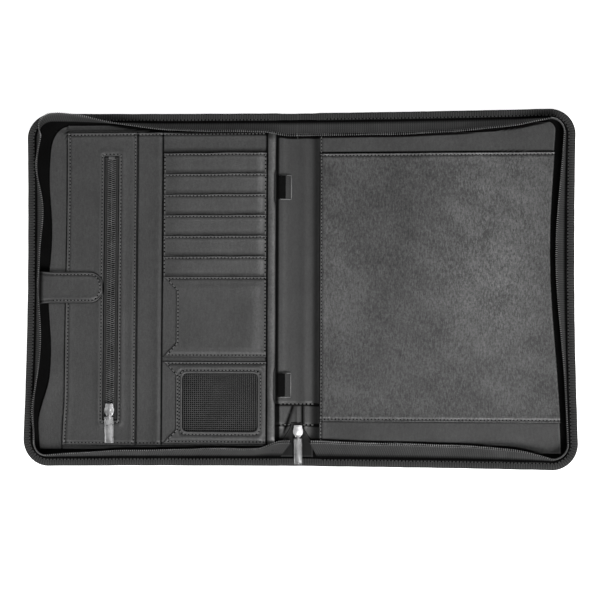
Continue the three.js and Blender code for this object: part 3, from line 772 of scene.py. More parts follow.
class Edge:
    """Half of the outline, from mid-spine at the top, round the outer corners, to mid-spine."""

    def __init__(self):
        corner_x, corner_y = HALF_W - CORNER_R, HALF_H - CORNER_R
        run = np.linspace(0, corner_x, 96)[:-1]
        arc = np.linspace(math.pi / 2, 0, 21)
        side = np.linspace(corner_y, -corner_y, 110)[1:-1]
        self.corner_x = corner_x
        self.x = np.concatenate([
            run, corner_x + CORNER_R * np.cos(arc), np.full_like(side, HALF_W),
            corner_x + CORNER_R * np.cos(arc[::-1]), run[::-1]])
        self.y = np.concatenate([
            np.full_like(run, HALF_H), corner_y + CORNER_R * np.sin(arc), side,
            -corner_y - CORNER_R * np.sin(arc[::-1]), np.full_like(run, -HALF_H)])
        self.angle = np.concatenate([
            np.full_like(run, math.pi / 2), arc, np.zeros_like(side), -arc[::-1],
            np.full_like(run, -math.pi / 2)])
        self.on_run = np.abs(np.abs(self.angle) - math.pi / 2) < 1e-6
        self.on_side = np.abs(self.angle) < 1e-6
        steps = np.hypot(np.diff(self.x), np.diff(self.y))
        self.s = np.concatenate([[0], np.cumsum(steps)])
        t = np.clip(self.x / corner_x, 0, 1)
        self.slack = np.where(self.on_run, 1 - t ** 3, 0)
        low_run = self.on_run & (self.y < 0)
        self.late_slack = np.where(low_run, 1 - t ** 4.5, self.slack)
        away = np.where(self.on_side, np.abs(self.y) / corner_y, np.abs(self.x) / corner_x)
        self.swell = CORNER_SWELL * np.clip(away, 0, 1) ** 2 + LOW_SWELL * ease(-self.y / HALF_H)

    def points(self, side, inset, z, cut=0.0):
        """Points that far in from the outline. cut moves the bottom run's end away from mid-spine."""
        x = self.x + 0.0
        low = self.on_run & (self.y < 0)
        x = np.where(low, cut + x * (self.corner_x - cut) / self.corner_x, x)
        inset = inset - self.swell
        x = x - inset * np.cos(self.angle)
        y = self.y - inset * np.sin(self.angle)
        return np.stack([SIDES[side] * x, y, z + 0 * x], axis=-1)


EDGE = Edge()


def on_cover(x, low, high):
    """low on the spine, high on the covers, with an even rise at the fold."""
    return low + (high - low) * ease((np.abs(x) - 13) / 10)


# ---- binding ----


def binding(side):
    """Woven strip folded round the edge, from its lower rim round the edge to its upper rim."""
    # Points of the section: how far in from the edge, and how far above the top face.
    upper = [(8.3, -0.5), (7.9, -0.1), (7.0, 0.05), (4.5, 0.1), (2.4, 0.0), (1.1, -0.45),
             (0.35, -1.3)]
    inner = [(1.0, -1.4), (1.6, -0.8), (4.5, -0.6), (8.2, -0.65)]
    ripple = waves(11 + SIDES[side], 21)
    top = on_cover(EDGE.x, 3.5, 6.2)
    wobble = 0.16 * ripple(EDGE.s, 0 * EDGE.s)
    rings = []
    for inset, drop in upper:
        rings.append(EDGE.points(side, inset + wobble, top + drop + wobble * 0.6))
    for inset, drop in reversed(upper):
        rings.append(EDGE.points(side, inset + wobble * 0.4, np.maximum(-drop + 0.1, 0.05)))
    for inset, drop in reversed(inner):
        rings.append(EDGE.points(side, inset, -drop + 0.15))
    for inset, drop in inner:
        rings.append(EDGE.points(side, inset, top + drop))
    # Painted shade at the rims of the strip and a painted highlight on its rolled edge.
    painted_light = np.zeros(len(rings))
    painted_light[[0, 1, -2, -1]] = -1
    painted_light[4] = 0.2
    obj = tube(f"{side}_edge_binding_cloth", np.stack(rings, axis=1), BINDING, painted_light=painted_light)
    end = "top" if side == "left" else "bottom"
    bent(obj, [f"{side}_edge_binding", f"spine_{end}_binding"])
    cloth(obj, 23, EDGE.s[-1], "folded", f"{side}_outer_leather")
    seam_line = EDGE.points(side, 6.7, 0)[EDGE.x > FOLD[1], :2]
    sew(f"{side}_cover", lambda x, y: 6.3 + 0 * x, seam_line, kind="edge")


# ---- zip tape ----

# Where the tape leaves the cover, and its width from there.
TAPE_INSET = 9
TAPE_ROOT_Z = 5.9
TAPE_W = 15
# Places along the width, and off the tape's middle plane, of the teeth and the core in them.
COIL_FROM = 12.2
COIL_OFF = -0.5
CORE_AT = (13.4, -0.6)
CORE_R = 0.55
TOOTH_PITCH = 1.95
# Leans from upright in degrees: at the corners, then along each cover's runs and at their spine
# ends.
CORNER_LEAN = 12
SLACK = {"left": (37, 77), "right": (77, 77)}
# Where the bottom run ends beside mid-spine, at the tape's root and at its free edge.
TAPE_END = {"left": (15.5, 4.6), "right": (20, 12.5)}


def side_lean(side, y):
    """Lean along the outer side, in degrees: the tape sags inwards between its corners."""
    if side == "left":
        sags = 16 * hump((y - 74) / 28) + 11 * hump((y + 52) / 30) - 4 * hump(y / 14)
        return 25 + sags - 12 * hump((y - 116) / 20) - 13 * hump((y + 116) / 22)
    return 10 + 34 * hump((y - 30) / 85)


def near(x, y, width):
    """1 at the station nearest to that corner point, fading along the edge."""
    at = EDGE.s[np.argmin(np.hypot(EDGE.x - x, EDGE.y - y))]
    return hump((EDGE.s - at) / width)


def tape_lean(side):
    """Lean of the tape from upright at each station, in radians."""
    run, spine = SLACK[side]
    begins = 32 if side == "left" else 46
    near_spine = ease((begins - EDGE.x) / 26) * EDGE.on_run
    top_run = EDGE.on_run * (EDGE.y > 0) * (side == "left")
    most = run + 12 * top_run + (spine - run - 12 * top_run) * near_spine
    slack = EDGE.late_slack if side == "right" else EDGE.slack
    ends = side_lean(side, np.clip(EDGE.y, -147, 147))
    round_corner = ease(1 - np.abs(EDGE.angle) / (math.pi / 2))
    lean = CORNER_LEAN + (most - CORNER_LEAN) * slack
    lean = np.where(EDGE.on_run, lean, CORNER_LEAN + (ends - CORNER_LEAN) * round_corner)
    if side == "left":
        outward = 24 * hump((EDGE.x - 190) / 45) * ease((239 - EDGE.x) / 40) * top_run
        lean = lean - 44 * near(230, HALF_H, 27) - outward
        lean = lean + 14 * near(HALF_W, 152, 14)
    ripple = 3.5 * waves(31 + SIDES[side], 46)(EDGE.s, 0 * EDGE.s)
    lean = lean + ripple * (EDGE.slack > 0.15) * ease(EDGE.x / 30)
    return np.radians(lean)


def tape_point(side, lean, along, off):
    """A place on the tape: along its width from the root, and off its middle plane."""
    along = along * (1 + 0.13 * hump(EDGE.x / 45) * EDGE.on_run * (EDGE.y < 0))
    curl = 0.11 * np.sin(math.pi * along / TAPE_W) * TAPE_W * 0.5
    inset = TAPE_INSET + along * np.sin(lean) + (off + curl) * np.cos(lean)
    z = TAPE_ROOT_Z + along * np.cos(lean) - (off + curl) * np.sin(lean)
    cut = np.interp(along, [0, TAPE_W], TAPE_END[side])
    return EDGE.points(side, inset, z, cut)


def under_tape(x, y):
    """Shade on a panel below the zip tape that leans in over it at the top and the bottom."""
    shade = 0 * x
    for side, sign in SIDES.items():
        line = tape_point(side, tape_lean(side), TAPE_W, 0)
        for end in (1, -1):
            run = EDGE.on_run & (end * EDGE.y > 0)
            order = np.argsort(sign * line[run, 0])
            out, in_y = sign * line[run, 0][order], end * line[run, 1][order]
            reach = end * y - np.interp(sign * x, out, in_y)
            shade = shade + (sign * x > 0) * ease((reach + 2.4) / 1.8)
    return shade


def zip_tape(side):
    """The standing tape, with its teeth and the coil's core along its free edge."""
    lean = tape_lean(side)
    widths = (0.6, 1.5, 4, 7, 10, 12.2, 13.6)
    # Painted shade at the tape's root beside the binding and a painted highlight along its free edge.
    shade = [-1, -0.75, 0.1, 0.1, 0.1, 0.3, 0.9]
    painted_light = [-1] + shade + shade[::-1] + [-1]
    root_end = TAPE_END[side][0]
    seam_at, half_thick = 6.4, 0.28
    rings = [EDGE.points(side, seam_at, on_cover(EDGE.x, 3.0, 5.75) + 0.1, root_end)]
    rings += [tape_point(side, lean, w, -half_thick) for w in widths]
    rings += [tape_point(side, lean, w, half_thick) for w in reversed(widths)]
    rings.append(EDGE.points(side, seam_at, on_cover(EDGE.x, 2.5, 5.25) + 0.1, root_end))
    tape = tube(f"{side}_zip_tape_cloth", np.stack(rings, axis=1), TAPE, painted_light=painted_light)
    bent(tape, [f"{side}_zip_tape"])
    starts = zip_station(side, lean, COIL_FROM, COIL_OFF)
    ends = zip_station(side, lean, TAPE_W + 0.1, COIL_OFF)
    teeth = capsules(f"{side}_zip_coil_teeth", starts, ends, 0.52, TEETH, flat=1.2)
    bent(teeth, [f"{side}_zip_coil"])
    turns = [k / 6 * 2 * math.pi for k in range(6)]
    cord = [tape_point(side, lean, CORE_AT[0] + CORE_R * math.cos(a),
                       CORE_AT[1] + CORE_R * math.sin(a)) for a in turns]
    core = tube(f"{side}_zip_coil_core", np.stack(cord, axis=1), LINING)
    bent(core, [])
    cloth(tape, 17, EDGE.s[-1], "stretched", f"{side}_edge_binding_cloth",
          with_pieces=[teeth, core])


def zip_station(side, lean, along, off):
    """Evenly spaced places on the tape, one for each tooth."""
    line = tape_point(side, lean, along, off)
    count = int(EDGE.s[-1] / TOOTH_PITCH)
    at = np.linspace(0.6, EDGE.s[-1] - 2, count)
    return np.stack([np.interp(at, EDGE.s, line[:, k]) for k in range(3)], axis=-1)


# ---- outer skin and lining ----


def outline_x(inset):
    """Outer edge of a cover at each height up the page, for a sheet that far in."""
    half_h, radius = HALF_H - inset, CORNER_R - inset

    def edge(y):
        past = np.clip(np.abs(y) - (half_h - radius), 0, radius)
        return HALF_W - inset - radius + np.sqrt(radius ** 2 - past ** 2)

    return edge


# The outer leather reaches this far under the binding.
TUCK = 5


def half_grid(inset, step, marks=()):
    """Points over the right half, and how far each is from the outer side and from the end."""
    edge = outline_x(inset)
    half_h = HALF_H - inset
    xs = lines(0, HALF_W - inset, step, marks)
    ys = lines(-half_h, half_h, step)
    x, y = np.meshgrid(xs, ys, indexing="ij")
    x = x / (HALF_W - inset) * edge(y)
    return x, y, edge(y) - x, half_h - np.abs(y)


def outer_skin(side):
    """Leather over the foam, drawn down to the binding all round and creased beside the spine."""
    x, y, d_side, d_end = half_grid(BINDING_W - TUCK, 5, (HINGE - 4, HINGE, HINGE + 4))
    d_side, d_end = np.maximum(d_side - TUCK, 0), np.maximum(d_end - TUCK, 0)
    pull = np.minimum(hump(d_side / 5) + hump(d_end / 5), 1)
    fold = hump((x - HINGE) / 2.2)
    sx = SIDES[side] * x
    hollow = 0.12 * (waves(5, 60)(sx, y) + 1)
    under = 0.05 + 0.85 * pull + 0.35 * fold + hollow
    over = np.maximum(on_cover(x, 1.3, 1.5), under + 0.4)
    top, bottom = (np.stack([sx, y, v], axis=-1) for v in (over, under))
    obj = slab(f"{side}_outer_leather", top, bottom, OUTER_LEATHER)
    nodes = [f"{side}_outer_skin"] + (["spine_outer_skin"] if side == "left" else [])
    width, length = HALF_W - BINDING_W + TUCK, 2 * (HALF_H - BINDING_W + TUCK)
    bent(obj, nodes)
    cloth(obj, width, length, "stretched", f"{side}_foam_cushion")


def foam_pad(side):
    """Closed foam under the outer leather, softened at its edges."""
    x0, x1, y0, y1, z0, z1 = span(f"{side}_foam_pad")
    edge = outline_x(HALF_H - y1)
    left, right = (x0, edge) if side == "right" else ((lambda y: -edge(y)), x1)
    pad = Sheet(left, right, y0, y1, z0, z1 - z0 - 0.1, rim=1.2, eaves=0)
    obj = pad.build(f"{side}_foam_cushion", FOAM, step=12)
    fixed(obj, f"{side}_cover", [f"{side}_foam_pad"])


def lining(side):
    """Cloth over the board, out to where the binding covers its edge."""
    inset = 6.5
    x, y, _, _ = half_grid(inset, 6, (HINGE, HINGE + 6))
    sx = SIDES[side] * x
    z = on_cover(x, SPINE_TOP - 0.3, COVER_TOP) + 0.12 * waves(8, 30)(sx, y)
    top, bottom = (np.stack([sx, y, v], axis=-1) for v in (z, z - 0.5))
    obj = slab(f"{side}_lining_cloth", top, bottom, LINING)
    bent(obj, [f"{side}_lining"])
    cloth(obj, HALF_W - inset, 2 * (HALF_H - inset), "stretched", f"{side}_cover_board")


# ---- right cover ----


# Width that the two leathers of the right cover were cut to.
PAGE_W = 226


def right_pockets():
    """The base panel, and on it the pocket panel that takes the pad's back."""

    def free_edge(y):
        """The outer edge, drawn in above mid-height and rounded at its top corner."""
        corner_r = 9.5
        past = np.clip(y - 149.5, 0, 9)
        corner = corner_r - np.sqrt(corner_r ** 2 - past ** 2)
        return 240.4 + 11.5 * (1 - hump((y - 33) / 130)) - corner

    x0, _, y0, y1, z0, _ = span("right_base_panel")
    soft = waves(21, 44)
    _, _, pad_y0, pad_y1, _, _ = span("pad_pocket_panel")

    def low_edge(x):
        return y0 - 7 * ease((x - 195) / 25)

    def high_edge(x):
        return y1 + 9 * ease((x - 185) / 35)

    def beside_pad(x, y):
        # Painted shade along the pad pocket's top and bottom edges, and over the base below it.
        edges = humps(y, (1.5, pad_y1 + 0.6, 0.9), (0.5, pad_y0 - 0.5, 0.8))
        return edges + 0.22 * ease((pad_y0 - y) / 3)

    base = Sheet(x0 - 0.7, free_edge, low_edge, high_edge, z0, 0.8,
                 lambda x, y: 0.25 * (soft(x, y) + 1), stitched={"l": 1.6}, shade=beside_pad)
    sewn(base, "right_base_leather", "right_base_panel", (PAGE_W, y1 - y0), "right_lining_cloth",
         body="right_cover", marks_y=(pad_y0, pad_y1, -146, 146))
    seam(base, x0 + 0.9, y0 + 3, x0 + 0.9, y1 - 3, "right_cover")

    _, _, y0, y1, z0, _ = span("pad_pocket_panel")
    broad, small = waves(22, 90), waves(23, 24)

    def sag(x, y):
        return 0.9 + 0.45 * broad(x, y) + 0.16 * small(x, y) + 0.35 * hump((240 - x) / 14)

    def painted_sheen(x, y):
        """A painted sheen over its right half and beside its left seam, and painted shade over the
        rest.
        """
        sheen = hump((x - 187) / 46) * hump((y - 32) / 105)
        rim = hump((x - 38) / 22) * hump((y - 5) / 65)
        patchy = 0.85 + 0.25 * broad(x, y) + 0.2 * small(x, y)
        return 0.22 - 0.95 * sheen * patchy - 0.24 * rim - 0.05 * small(x, y)

    pad = Sheet(x0 - 0.3, lambda y: free_edge(y) + 0.5, y0, y1, z0, 0.9, sag,
                stitched={"l": 1.6, "t": SEAM, "b": SEAM}, ridge=0.35, shade=painted_sheen)
    sewn(pad, "pad_pocket_leather", "pad_pocket_panel", (PAGE_W, y1 - y0), "right_base_leather",
         body="right_cover", material=PAD_LEATHER, slot="pad_leather", step=4)
    left, low, high = x0 + SIDE_SEAM, y0 + SEAM, y1 - SEAM
    seam(pad, left, high, free_edge(y1) - 2, high, "right_cover")
    seam(pad, left, low, free_edge(y0) - 2, low, "right_cover")
    seam(pad, left, low, left, high, "right_cover")


# ---- document pocket and organiser ----


# The soft panel reaches this far above its CAD plate, and its free edge waves at this pitch.
DOCUMENT_RISE = 3.5
DOCUMENT_WAVE = 115


def document_edge(y):
    """The slack outer edge of the document pocket."""
    ripple = -1.5 * np.cos(2 * math.pi * (y + 5) / DOCUMENT_WAVE)
    past = np.clip((y - 136) / 22, 0, 1)
    drawn_in = 15 * (1 - np.sqrt(1 - past ** 2))
    let_out = -9 * ease((-85 - y) / 50)
    return -241.2 + ripple + drawn_in + let_out


def document_pocket():
    """A slack panel on a gusset, open towards the outer edge."""
    _, x1, y0, y1, z0, _ = span("document_pocket_panel")
    y1 = y1 + DOCUMENT_RISE
    organiser_top = span("organiser_panel")[3]
    soft = waves(41, 50)

    def gape(x, y):
        edge = hump((x - document_edge(y)) / 9)
        lift = 0.9 * edge * (0.6 + 0.4 * np.cos(2 * math.pi * y / DOCUMENT_WAVE))
        return 0.2 * soft(x, y) + lift - 0.8 * ease((y - 151.5) / 4)

    def beside_organiser(x, y):
        # Painted shade in a line beside the organiser's left edge, and over the strip above the
        # organiser.
        above = ease((y - organiser_top) / 2) * ease((x - organiser_edge(y)) / 2)
        return 1.3 * hump((x - organiser_edge(y) + 0.5) / 0.8) + 0.4 * above

    panel = Sheet(document_edge, x1, y0, y1, z0, 0.9, gape, turned="lbt", ridge=0.3,
                  shade=beside_organiser)
    sewn(panel, "document_pocket_leather", "document_pocket_panel", (219, y1 - y0),
         "document_gusset_cloth", marks_x=(-225,))

    gx0, gx1, gy0, gy1, gz0, _ = span("document_pocket_gusset")
    rim = 9
    fold = waves(42, 16)
    under = Sheet(gx0, gx1, gy0, gy1, gz0, 0.5, lambda x, y: 0.12 * fold(x, y),
                  hole=(gx0 - 1, gx1 - rim, gy0 + rim, gy1 - rim))
    obj = fixed(under.build("document_gusset_cloth", LINING), "left_cover",
                ["document_pocket_gusset"])
    cloth(obj, 10, 2 * (gx1 - gx0) + gy1 - gy0 - 2 * rim, "folded", "left_lining_cloth")


def organiser_edge(y):
    """The left edge of the organiser, drawn in a little at its lower end."""
    return -224.7 + 0.5 * np.sin(y / 50) - 2.2 * ease((-100 - y) / 50)


def organiser(zip_pieces):
    """The panel beside the spine that carries the zip pocket, the slip pocket and the cards."""
    _, x1, y0, y1, z0, _ = span("organiser_panel")
    base = Sheet(organiser_edge, x1, y0, y1, z0, 0.9)
    sewn(base, "organiser_leather", "organiser_panel", (203, y1 - y0), "document_pocket_leather",
         step=9)
    soft = waves(51, 60)
    zip_pocket(soft, zip_pieces)

    x0, x1, y0, y1, z0, _ = span("zip_pocket_lining")
    bag = Sheet(x0, x1, y0, y1, z0, 0.35, rim=0.5)
    sewn(bag, "zip_pocket_cloth", "zip_pocket_lining", (x1 - x0, y1 - y0), "organiser_leather",
         material=LINING, slot="fabric", step=12)
    slip_pocket(soft)


def zip_pocket(soft, zip_pieces):
    """A panel with a slot for the zip, sewn all round the slot and all round itself."""
    _, x1, y0, y1, z0, _ = span("zip_pocket_panel")
    left_tape, right_tape = span("inner_zip_tape_left"), span("inner_zip_tape_right")
    cx = (left_tape[0] + right_tape[1]) / 2
    half_w, low, high = 6.9, left_tape[2] - 0.3, left_tape[3] + 0.3
    small = waves(52, 20)

    def relief(x, y):
        lip = 0.25 * hump(np.abs(np.abs(x - cx) - 10.5) / 2.5) * (np.abs(y) < left_tape[3] + 6)
        return 0.18 * soft(x, y) + 0.07 * small(x, y) + lip

    # How far in the seams run at the two sides and round the slot.
    left_seam, right_seam, slot_seam = 2.8, 1.6, 2.3
    pocket = Sheet(organiser_edge, x1, y0, y1, z0, 0.9, relief,
                   hole=(cx - half_w, cx + half_w, low, high),
                   stitched={"l": left_seam, "r": right_seam, "t": SEAM, "b": SEAM,
                             "h": slot_seam})
    obj = fixed(pocket.build("zip_pocket_leather", LEATHER), "left_cover", ["zip_pocket_panel"])
    cloth(obj, 70, y1 - y0, "stretched", "organiser_leather", with_pieces=zip_pieces)
    ys = np.linspace(y0 + SEAM, y1 - SEAM, 90)
    sew("left_cover", pocket, np.stack([organiser_edge(ys) + left_seam, ys], axis=-1))
    seam(pocket, x1 - right_seam, y0 + 2, x1 - right_seam, y1 - 2)
    for y in (y0 + SEAM, y1 - SEAM):
        seam(pocket, -221, y, x1 - 3, y)
    xa, xb = cx - half_w - slot_seam, cx + half_w + slot_seam
    ya, yb = low - slot_seam, high + slot_seam
    for line in ((xa, ya, xb, ya), (xb, ya, xb, yb), (xb, yb, xa, yb), (xa, yb, xa, ya)):
        seam(pocket, *line)


def slip_pocket(soft):
    """The panel behind the cards, with painted shade in the gaps round what lies on it and under the
    window's net.
    """
    x0, x1, y0, y1, z0, _ = span("slip_pocket_panel")
    card_x0, _, _, card_top, _, _ = span("card_slot_1")
    roll_x0 = span("organiser_spine_roll")[0]
    pass_low = span("pass_pocket_panel")[2]
    wx0, wx1, wy0, wy1, _, _ = span("id_window_mesh")

    def swell(x, y):
        return 0.1 * soft(x, y) + 1.0 * hump((x - card_x0 + 5) / 3.6)

    def gaps(x, y):
        # Painted shade under the window's net, and in the gaps beside the zip pocket, the cards, the
        # roll and the pass pocket.
        inside = ease((x - wx0) / 2) * ease((wx1 - x) / 2) * ease((y - wy0) / 2) * ease((wy1 - y) / 2)
        uprights = humps(x, (1, x0 + 0.4, 0.8), (1.3, card_x0 - 0.9, 0.9), (1.6, roll_x0 - 0.7, 1.1))
        levels = (x > card_x0) * humps(y, (1, card_top + 0.6, 0.9), (1, pass_low - 1.5, 1.8))
        return uprights + levels + 1.2 * inside

    slip = Sheet(x0, x1, y0, y1, z0, 0.8, swell, turned="bt", stitched={"t": SEAM, "b": SEAM},
                 shade=gaps)
    sewn(slip, "slip_pocket_leather", "slip_pocket_panel", (x1 - x0, y1 - y0), "organiser_leather",
         marks_x=(card_x0 - 0.9, roll_x0 - 0.6))
    for y in (y0 + SEAM, y1 - SEAM):
        seam(slip, x0 + 1, y, x1 - 8, y)


# The soft roll bulges past its core, towards the spine, and less beside the pen loops, so that it
# clears them when the cover folds.
ROLL_OVERHANG = 2.6
LOOP_ROOM = 1.4


def beside_loops(y):
    """1 beside a pen loop and 0 a few millimetres past its ends."""
    total = 0 * y
    for node in ("pen_loop_upper", "pen_loop_lower"):
        _, _, y0, y1, _, _ = span(node)
        total = total + ease((y - y0 + 7) / 6) * ease((y1 + 7 - y) / 6)
    return total


def spine_roll():
    """The organiser's leather rolled over a cord beside the spine."""
    x0, x1, y0, y1, z0, z1 = span("organiser_spine_roll")
    ys = lines(y0, y1, 2.5)
    x1 = x1 + ROLL_OVERHANG - LOOP_ROOM * beside_loops(ys)
    cx, rx, cz, rz = (x0 + x1) / 2, (x1 - x0) / 2, (z0 + z1) / 2, (z1 - z0) / 2
    wob = waves(61, 40)(ys, 0 * ys)
    full = ease(np.minimum(ys - y0, y1 - ys) / 9)
    rings = []
    angles = np.arange(16) / 16 * 2 * math.pi
    for a in angles:
        px = cx + (rx + 0.2 * wob) * np.sign(math.cos(a)) * abs(math.cos(a)) ** 0.8
        pz = cz + (rz + 0.12 * wob) * math.sin(a) * (0.15 + 0.85 * full) - 2.2 * (1 - full)
        rings.append(np.stack([px, ys, pz], axis=-1))
    # A painted highlight along the roll's upper right, painted shade down both flanks and over its
    # underside.
    painted_light = humps(angles, (1.2, 1.15, 0.45), (-1.3, 0, 0.55), (-1.3, 3.14, 0.55))
    painted_light = painted_light - (angles > 3.4)
    obj = tube("organiser_roll_leather", np.stack(rings, axis=1), ROLL_LEATHER, painted_light=painted_light)
    fixed(obj, "left_cover", ["organiser_spine_roll"])


# ---- card slots and ID pockets ----


def cards():
    """Six strips, each with its lip over the foot of the one above."""
    for i in range(1, 7):
        node = f"card_slot_{i}"
        x0, x1, y0, y1, z0, z1 = span(node)
        rise = z1 - z0 - 0.9
        ripple = waves(70 + i, 33)
        next_top = span(f"card_slot_{i + 1}" if i < 6 else "pass_pocket_panel")[3]

        def relief(x, y):
            share = (y - y0) / (y1 - y0)
            belly = 1.1 * ease((x - x0) / 16) * ease((x1 - x - 1) / 6) * ease(share * 1.5)
            return rise * share + belly + 0.1 * ripple(x, y)

        def lip(x):
            return y1 - 0.5 + 0.35 * ripple(x, 0 * x) * np.sin(math.pi * (x - x0) / (x1 - x0))

        def mouth(x, y):
            # Painted shade in the pocket's mouth just above the next strip's lip, and a painted
            # highlight near the right end.
            painted_highlight = hump((x1 - 5.4 - x) / 2.2) * ease((y - next_top - 1) / 5)
            return 1.4 * hump((y - next_top - 0.4) / 0.6) - 1.3 * painted_highlight

        strip = Sheet(x0, x1, y0, lip, z0, 0.8, relief, turned="lrt", stitched={"t": LIP_SEAM},
                      shade=mouth)
        sewn(strip, f"{node}_leather", node, (x1 - x0, y1 - y0), "slip_pocket_leather")
        seam(strip, x0 + 2.5, y1 - 2.2, x1 - 2.5, y1 - 2.2)
        for x in (x0 + SIDE_SEAM, x1 - SIDE_SEAM):
            seam(strip, x, y0 + 6.5, x, y1 - 1)


# How far the pocket fronts are cut back on their left for a thumb.
THUMB = 13


def thumb_edge(x0, y0, y1):
    """Left edge of a pocket front that is cut back for a thumb between its corners."""

    def edge(y):
        return x0 + THUMB * np.clip(np.minimum(y - y0, y1 - y) / THUMB, 0, 1)

    return edge


def sew_thumb(sheet, x0, y0, y1):
    """The seam along a front's cut-back edge."""
    inset = 2.0
    path = [(x0 + inset + 2, y1 - 1.5), (x0 + THUMB + inset, y1 - THUMB - inset * 0.4),
            (x0 + THUMB + inset, y0 + THUMB + inset * 0.4), (x0 + inset + 2, y0 + 1.5)]
    for a, b in zip(path, path[1:]):
        seam(sheet, *a, *b)


def pass_pocket():
    """A plain front under the cards."""
    x0, x1, y0, y1, z0, z1 = span("pass_pocket_panel")
    soft = waves(81, 45)

    def slope(x, y):
        puff = 0.9 * ease((y - y0 - 1) / 9) * ease((x1 - 1 - x) / 9) * ease((y1 - y) / 12)
        return (z1 - z0 - 0.9 - 0.3) * ease((y - y1 + 26) / 26) + 0.12 * soft(x, y) + puff

    def painted_highlight(x, y):
        # Painted highlights at the right end and along a line just above the lower seam.
        right_end = hump((x1 - 9 - x) / 4.5) * ease((y - y0 - 3) / 8) * ease((y1 - 4 - y) / 10)
        return -0.95 * right_end - 0.7 * hump((y - y0 - 4.6) / 1.3)

    front = Sheet(thumb_edge(x0, y0, y1), x1, y0, y1, z0, 0.85, slope,
                  stitched={"t": LIP_SEAM, "b": 2.0}, shade=painted_highlight)
    width, length = x1 - x0, y1 - y0
    sewn(front, "pass_pocket_leather", "pass_pocket_panel", (width, length),
         "slip_pocket_leather", width * length - THUMB * (length - THUMB),
         marks_y=(y0 + THUMB, y1 - THUMB))
    for y in (y0 + 2.0, y1 - 1.8):
        seam(front, x0 + 3, y, x1 - 2, y)
    seam(front, x1 - SIDE_SEAM, y0 + 3, x1 - SIDE_SEAM, y1 - 3)
    sew_thumb(front, x0, y0, y1)


def id_pocket():
    """A padded frame with rounded corners round a window, and the net in the window."""
    x0, x1, y0, y1, z0, _ = span("id_pocket_panel")
    wx0, wx1, wy0, wy1, wz0, _ = span("id_window_mesh")
    left, right, low, high = wx0 + 1.6, wx1 - 2.6, wy0 + 2.6, wy1 - 2.6
    puff = waves(82, 35)

    def padded_rim(x, y):
        rim = ease((y - y0 - 1) / 6) * ease((x1 - x - 1) / 6) * ease((y1 - y - 1) / 6)
        return 0.12 * puff(x, y) + 0.7 * rim

    def painted_highlight(x, y):
        # Painted highlights on the window's lower lip and near the front's right end.
        low_lip = hump((y - low + 1.3) / 0.9) * (x > left) * (x < right)
        return -0.7 * low_lip - 0.6 * hump((x1 - 4 - x) / 2) * ease((y1 - 5 - y) / 10)

    inset = 3.2
    front = Sheet(thumb_edge(x0, y0, y1), x1, y0, y1, z0, 0.85, padded_rim,
                  hole=(left, right, low, high), hole_r=5,
                  stitched={"b": SEAM, "t": 1.8, "h": inset}, shade=painted_highlight)
    width, length = x1 - x0, y1 - y0
    cut = THUMB * (length - THUMB) + (right - left) * (high - low)
    sewn(front, "id_pocket_leather", "id_pocket_panel", (width, length), "slip_pocket_leather",
         width * length - cut, marks_y=(y0 + THUMB, y1 - THUMB))
    ring = rounded_outline(left - inset, right + inset, low - inset, high + inset, 4 + inset)
    sew("left_cover", front, ring + ring[:1])
    for y in (y0 + SEAM, y1 - 1.8):
        seam(front, x0 + 3, y, x1 - 2, y)
    sew_thumb(front, x0, y0, y1)

    pitch = 1.9
    upright = [(x, wz0 + 0.12) for x in np.arange(wx0 + 0.5, wx1, pitch)]
    across = [(y, wz0 + 0.34) for y in np.arange(wy0 + 0.5, wy1, pitch)]
    starts = [(x, wy0, z) for x, z in upright] + [(wx0, y, z) for y, z in across]
    ends = [(x, wy1, z) for x, z in upright] + [(wx1, y, z) for y, z in across]
    net = capsules("id_window_net", starts, ends, 0.33, NET, flat=0.5)
    fixed(net, "left_cover", ["id_window_mesh"])
    cloth(net, wx1 - wx0, wy1 - wy0, "stretched", "slip_pocket_leather")


# ---- zip of the inner pocket ----


def inner_zip():
    """The tapes, teeth and stops, which are sewn to the zip pocket."""
    pieces = []
    for side, sign in SIDES.items():
        x0, x1, y0, y1, z0, _ = span(f"inner_zip_tape_{side}")
        inner = x1 if side == "left" else x0
        edges = sorted((inner, inner + sign * 3.9))
        strip = Sheet(edges[0] - 0.2, edges[1] + 0.2, y0, y1, z0 - 0.3, 0.5,
                      lambda x, y: 0.05 * waves(91, 18)(x, y), rim=0.4)
        obj = strip.build(f"inner_zip_tape_{side}_cloth", WEB)
        pieces.append(fixed(obj, "left_cover", [f"inner_zip_tape_{side}"]))
        x0, x1, y0, y1, z0, z1 = span(f"inner_zip_coil_{side}")
        outer, inner = (x0, x1) if side == "left" else (x1, x0)
        ys = np.arange(y0 + 1.2 + (side == "right"), y1 - 1.2, 2.0)
        z = np.full_like(ys, (z0 + z1) / 2)
        starts = np.stack([0 * ys + outer + sign * 1.3, ys, z], axis=-1)
        ends = np.stack([0 * ys + inner - sign * 0.6, ys - 1.0, z + 0.15], axis=-1)
        teeth = capsules(f"inner_zip_coil_{side}_teeth", starts, ends, 0.5, COIL)
        pieces.append(fixed(teeth, "left_cover", [f"inner_zip_coil_{side}"]))
    for end in ("top", "bottom"):
        x0, x1, y0, y1, z0, z1 = span(f"inner_zip_{end}_stop")
        outline = rounded_outline(x0, x1, y0, y1, 0.8)
        stop = outlined(f"inner_zip_{end}_stop_crimp", outline, z0, z1, COIL)
        pieces.append(fixed(stop, "left_cover", [f"inner_zip_{end}_stop"]))
    return pieces


def rounded_outline(x0, x1, y0, y1, radius):
    """A rectangle's outline with rounded corners."""
    points = []
    left, right, low, high = x0 + radius, x1 - radius, y0 + radius, y1 - radius
    for quarter, (cx, cy) in enumerate(((right, high), (left, high), (left, low), (right, low))):
        for k in range(7):
            a = (quarter + k / 6) * math.pi / 2
            points.append((cx + radius * math.cos(a), cy + radius * math.sin(a)))
    return points


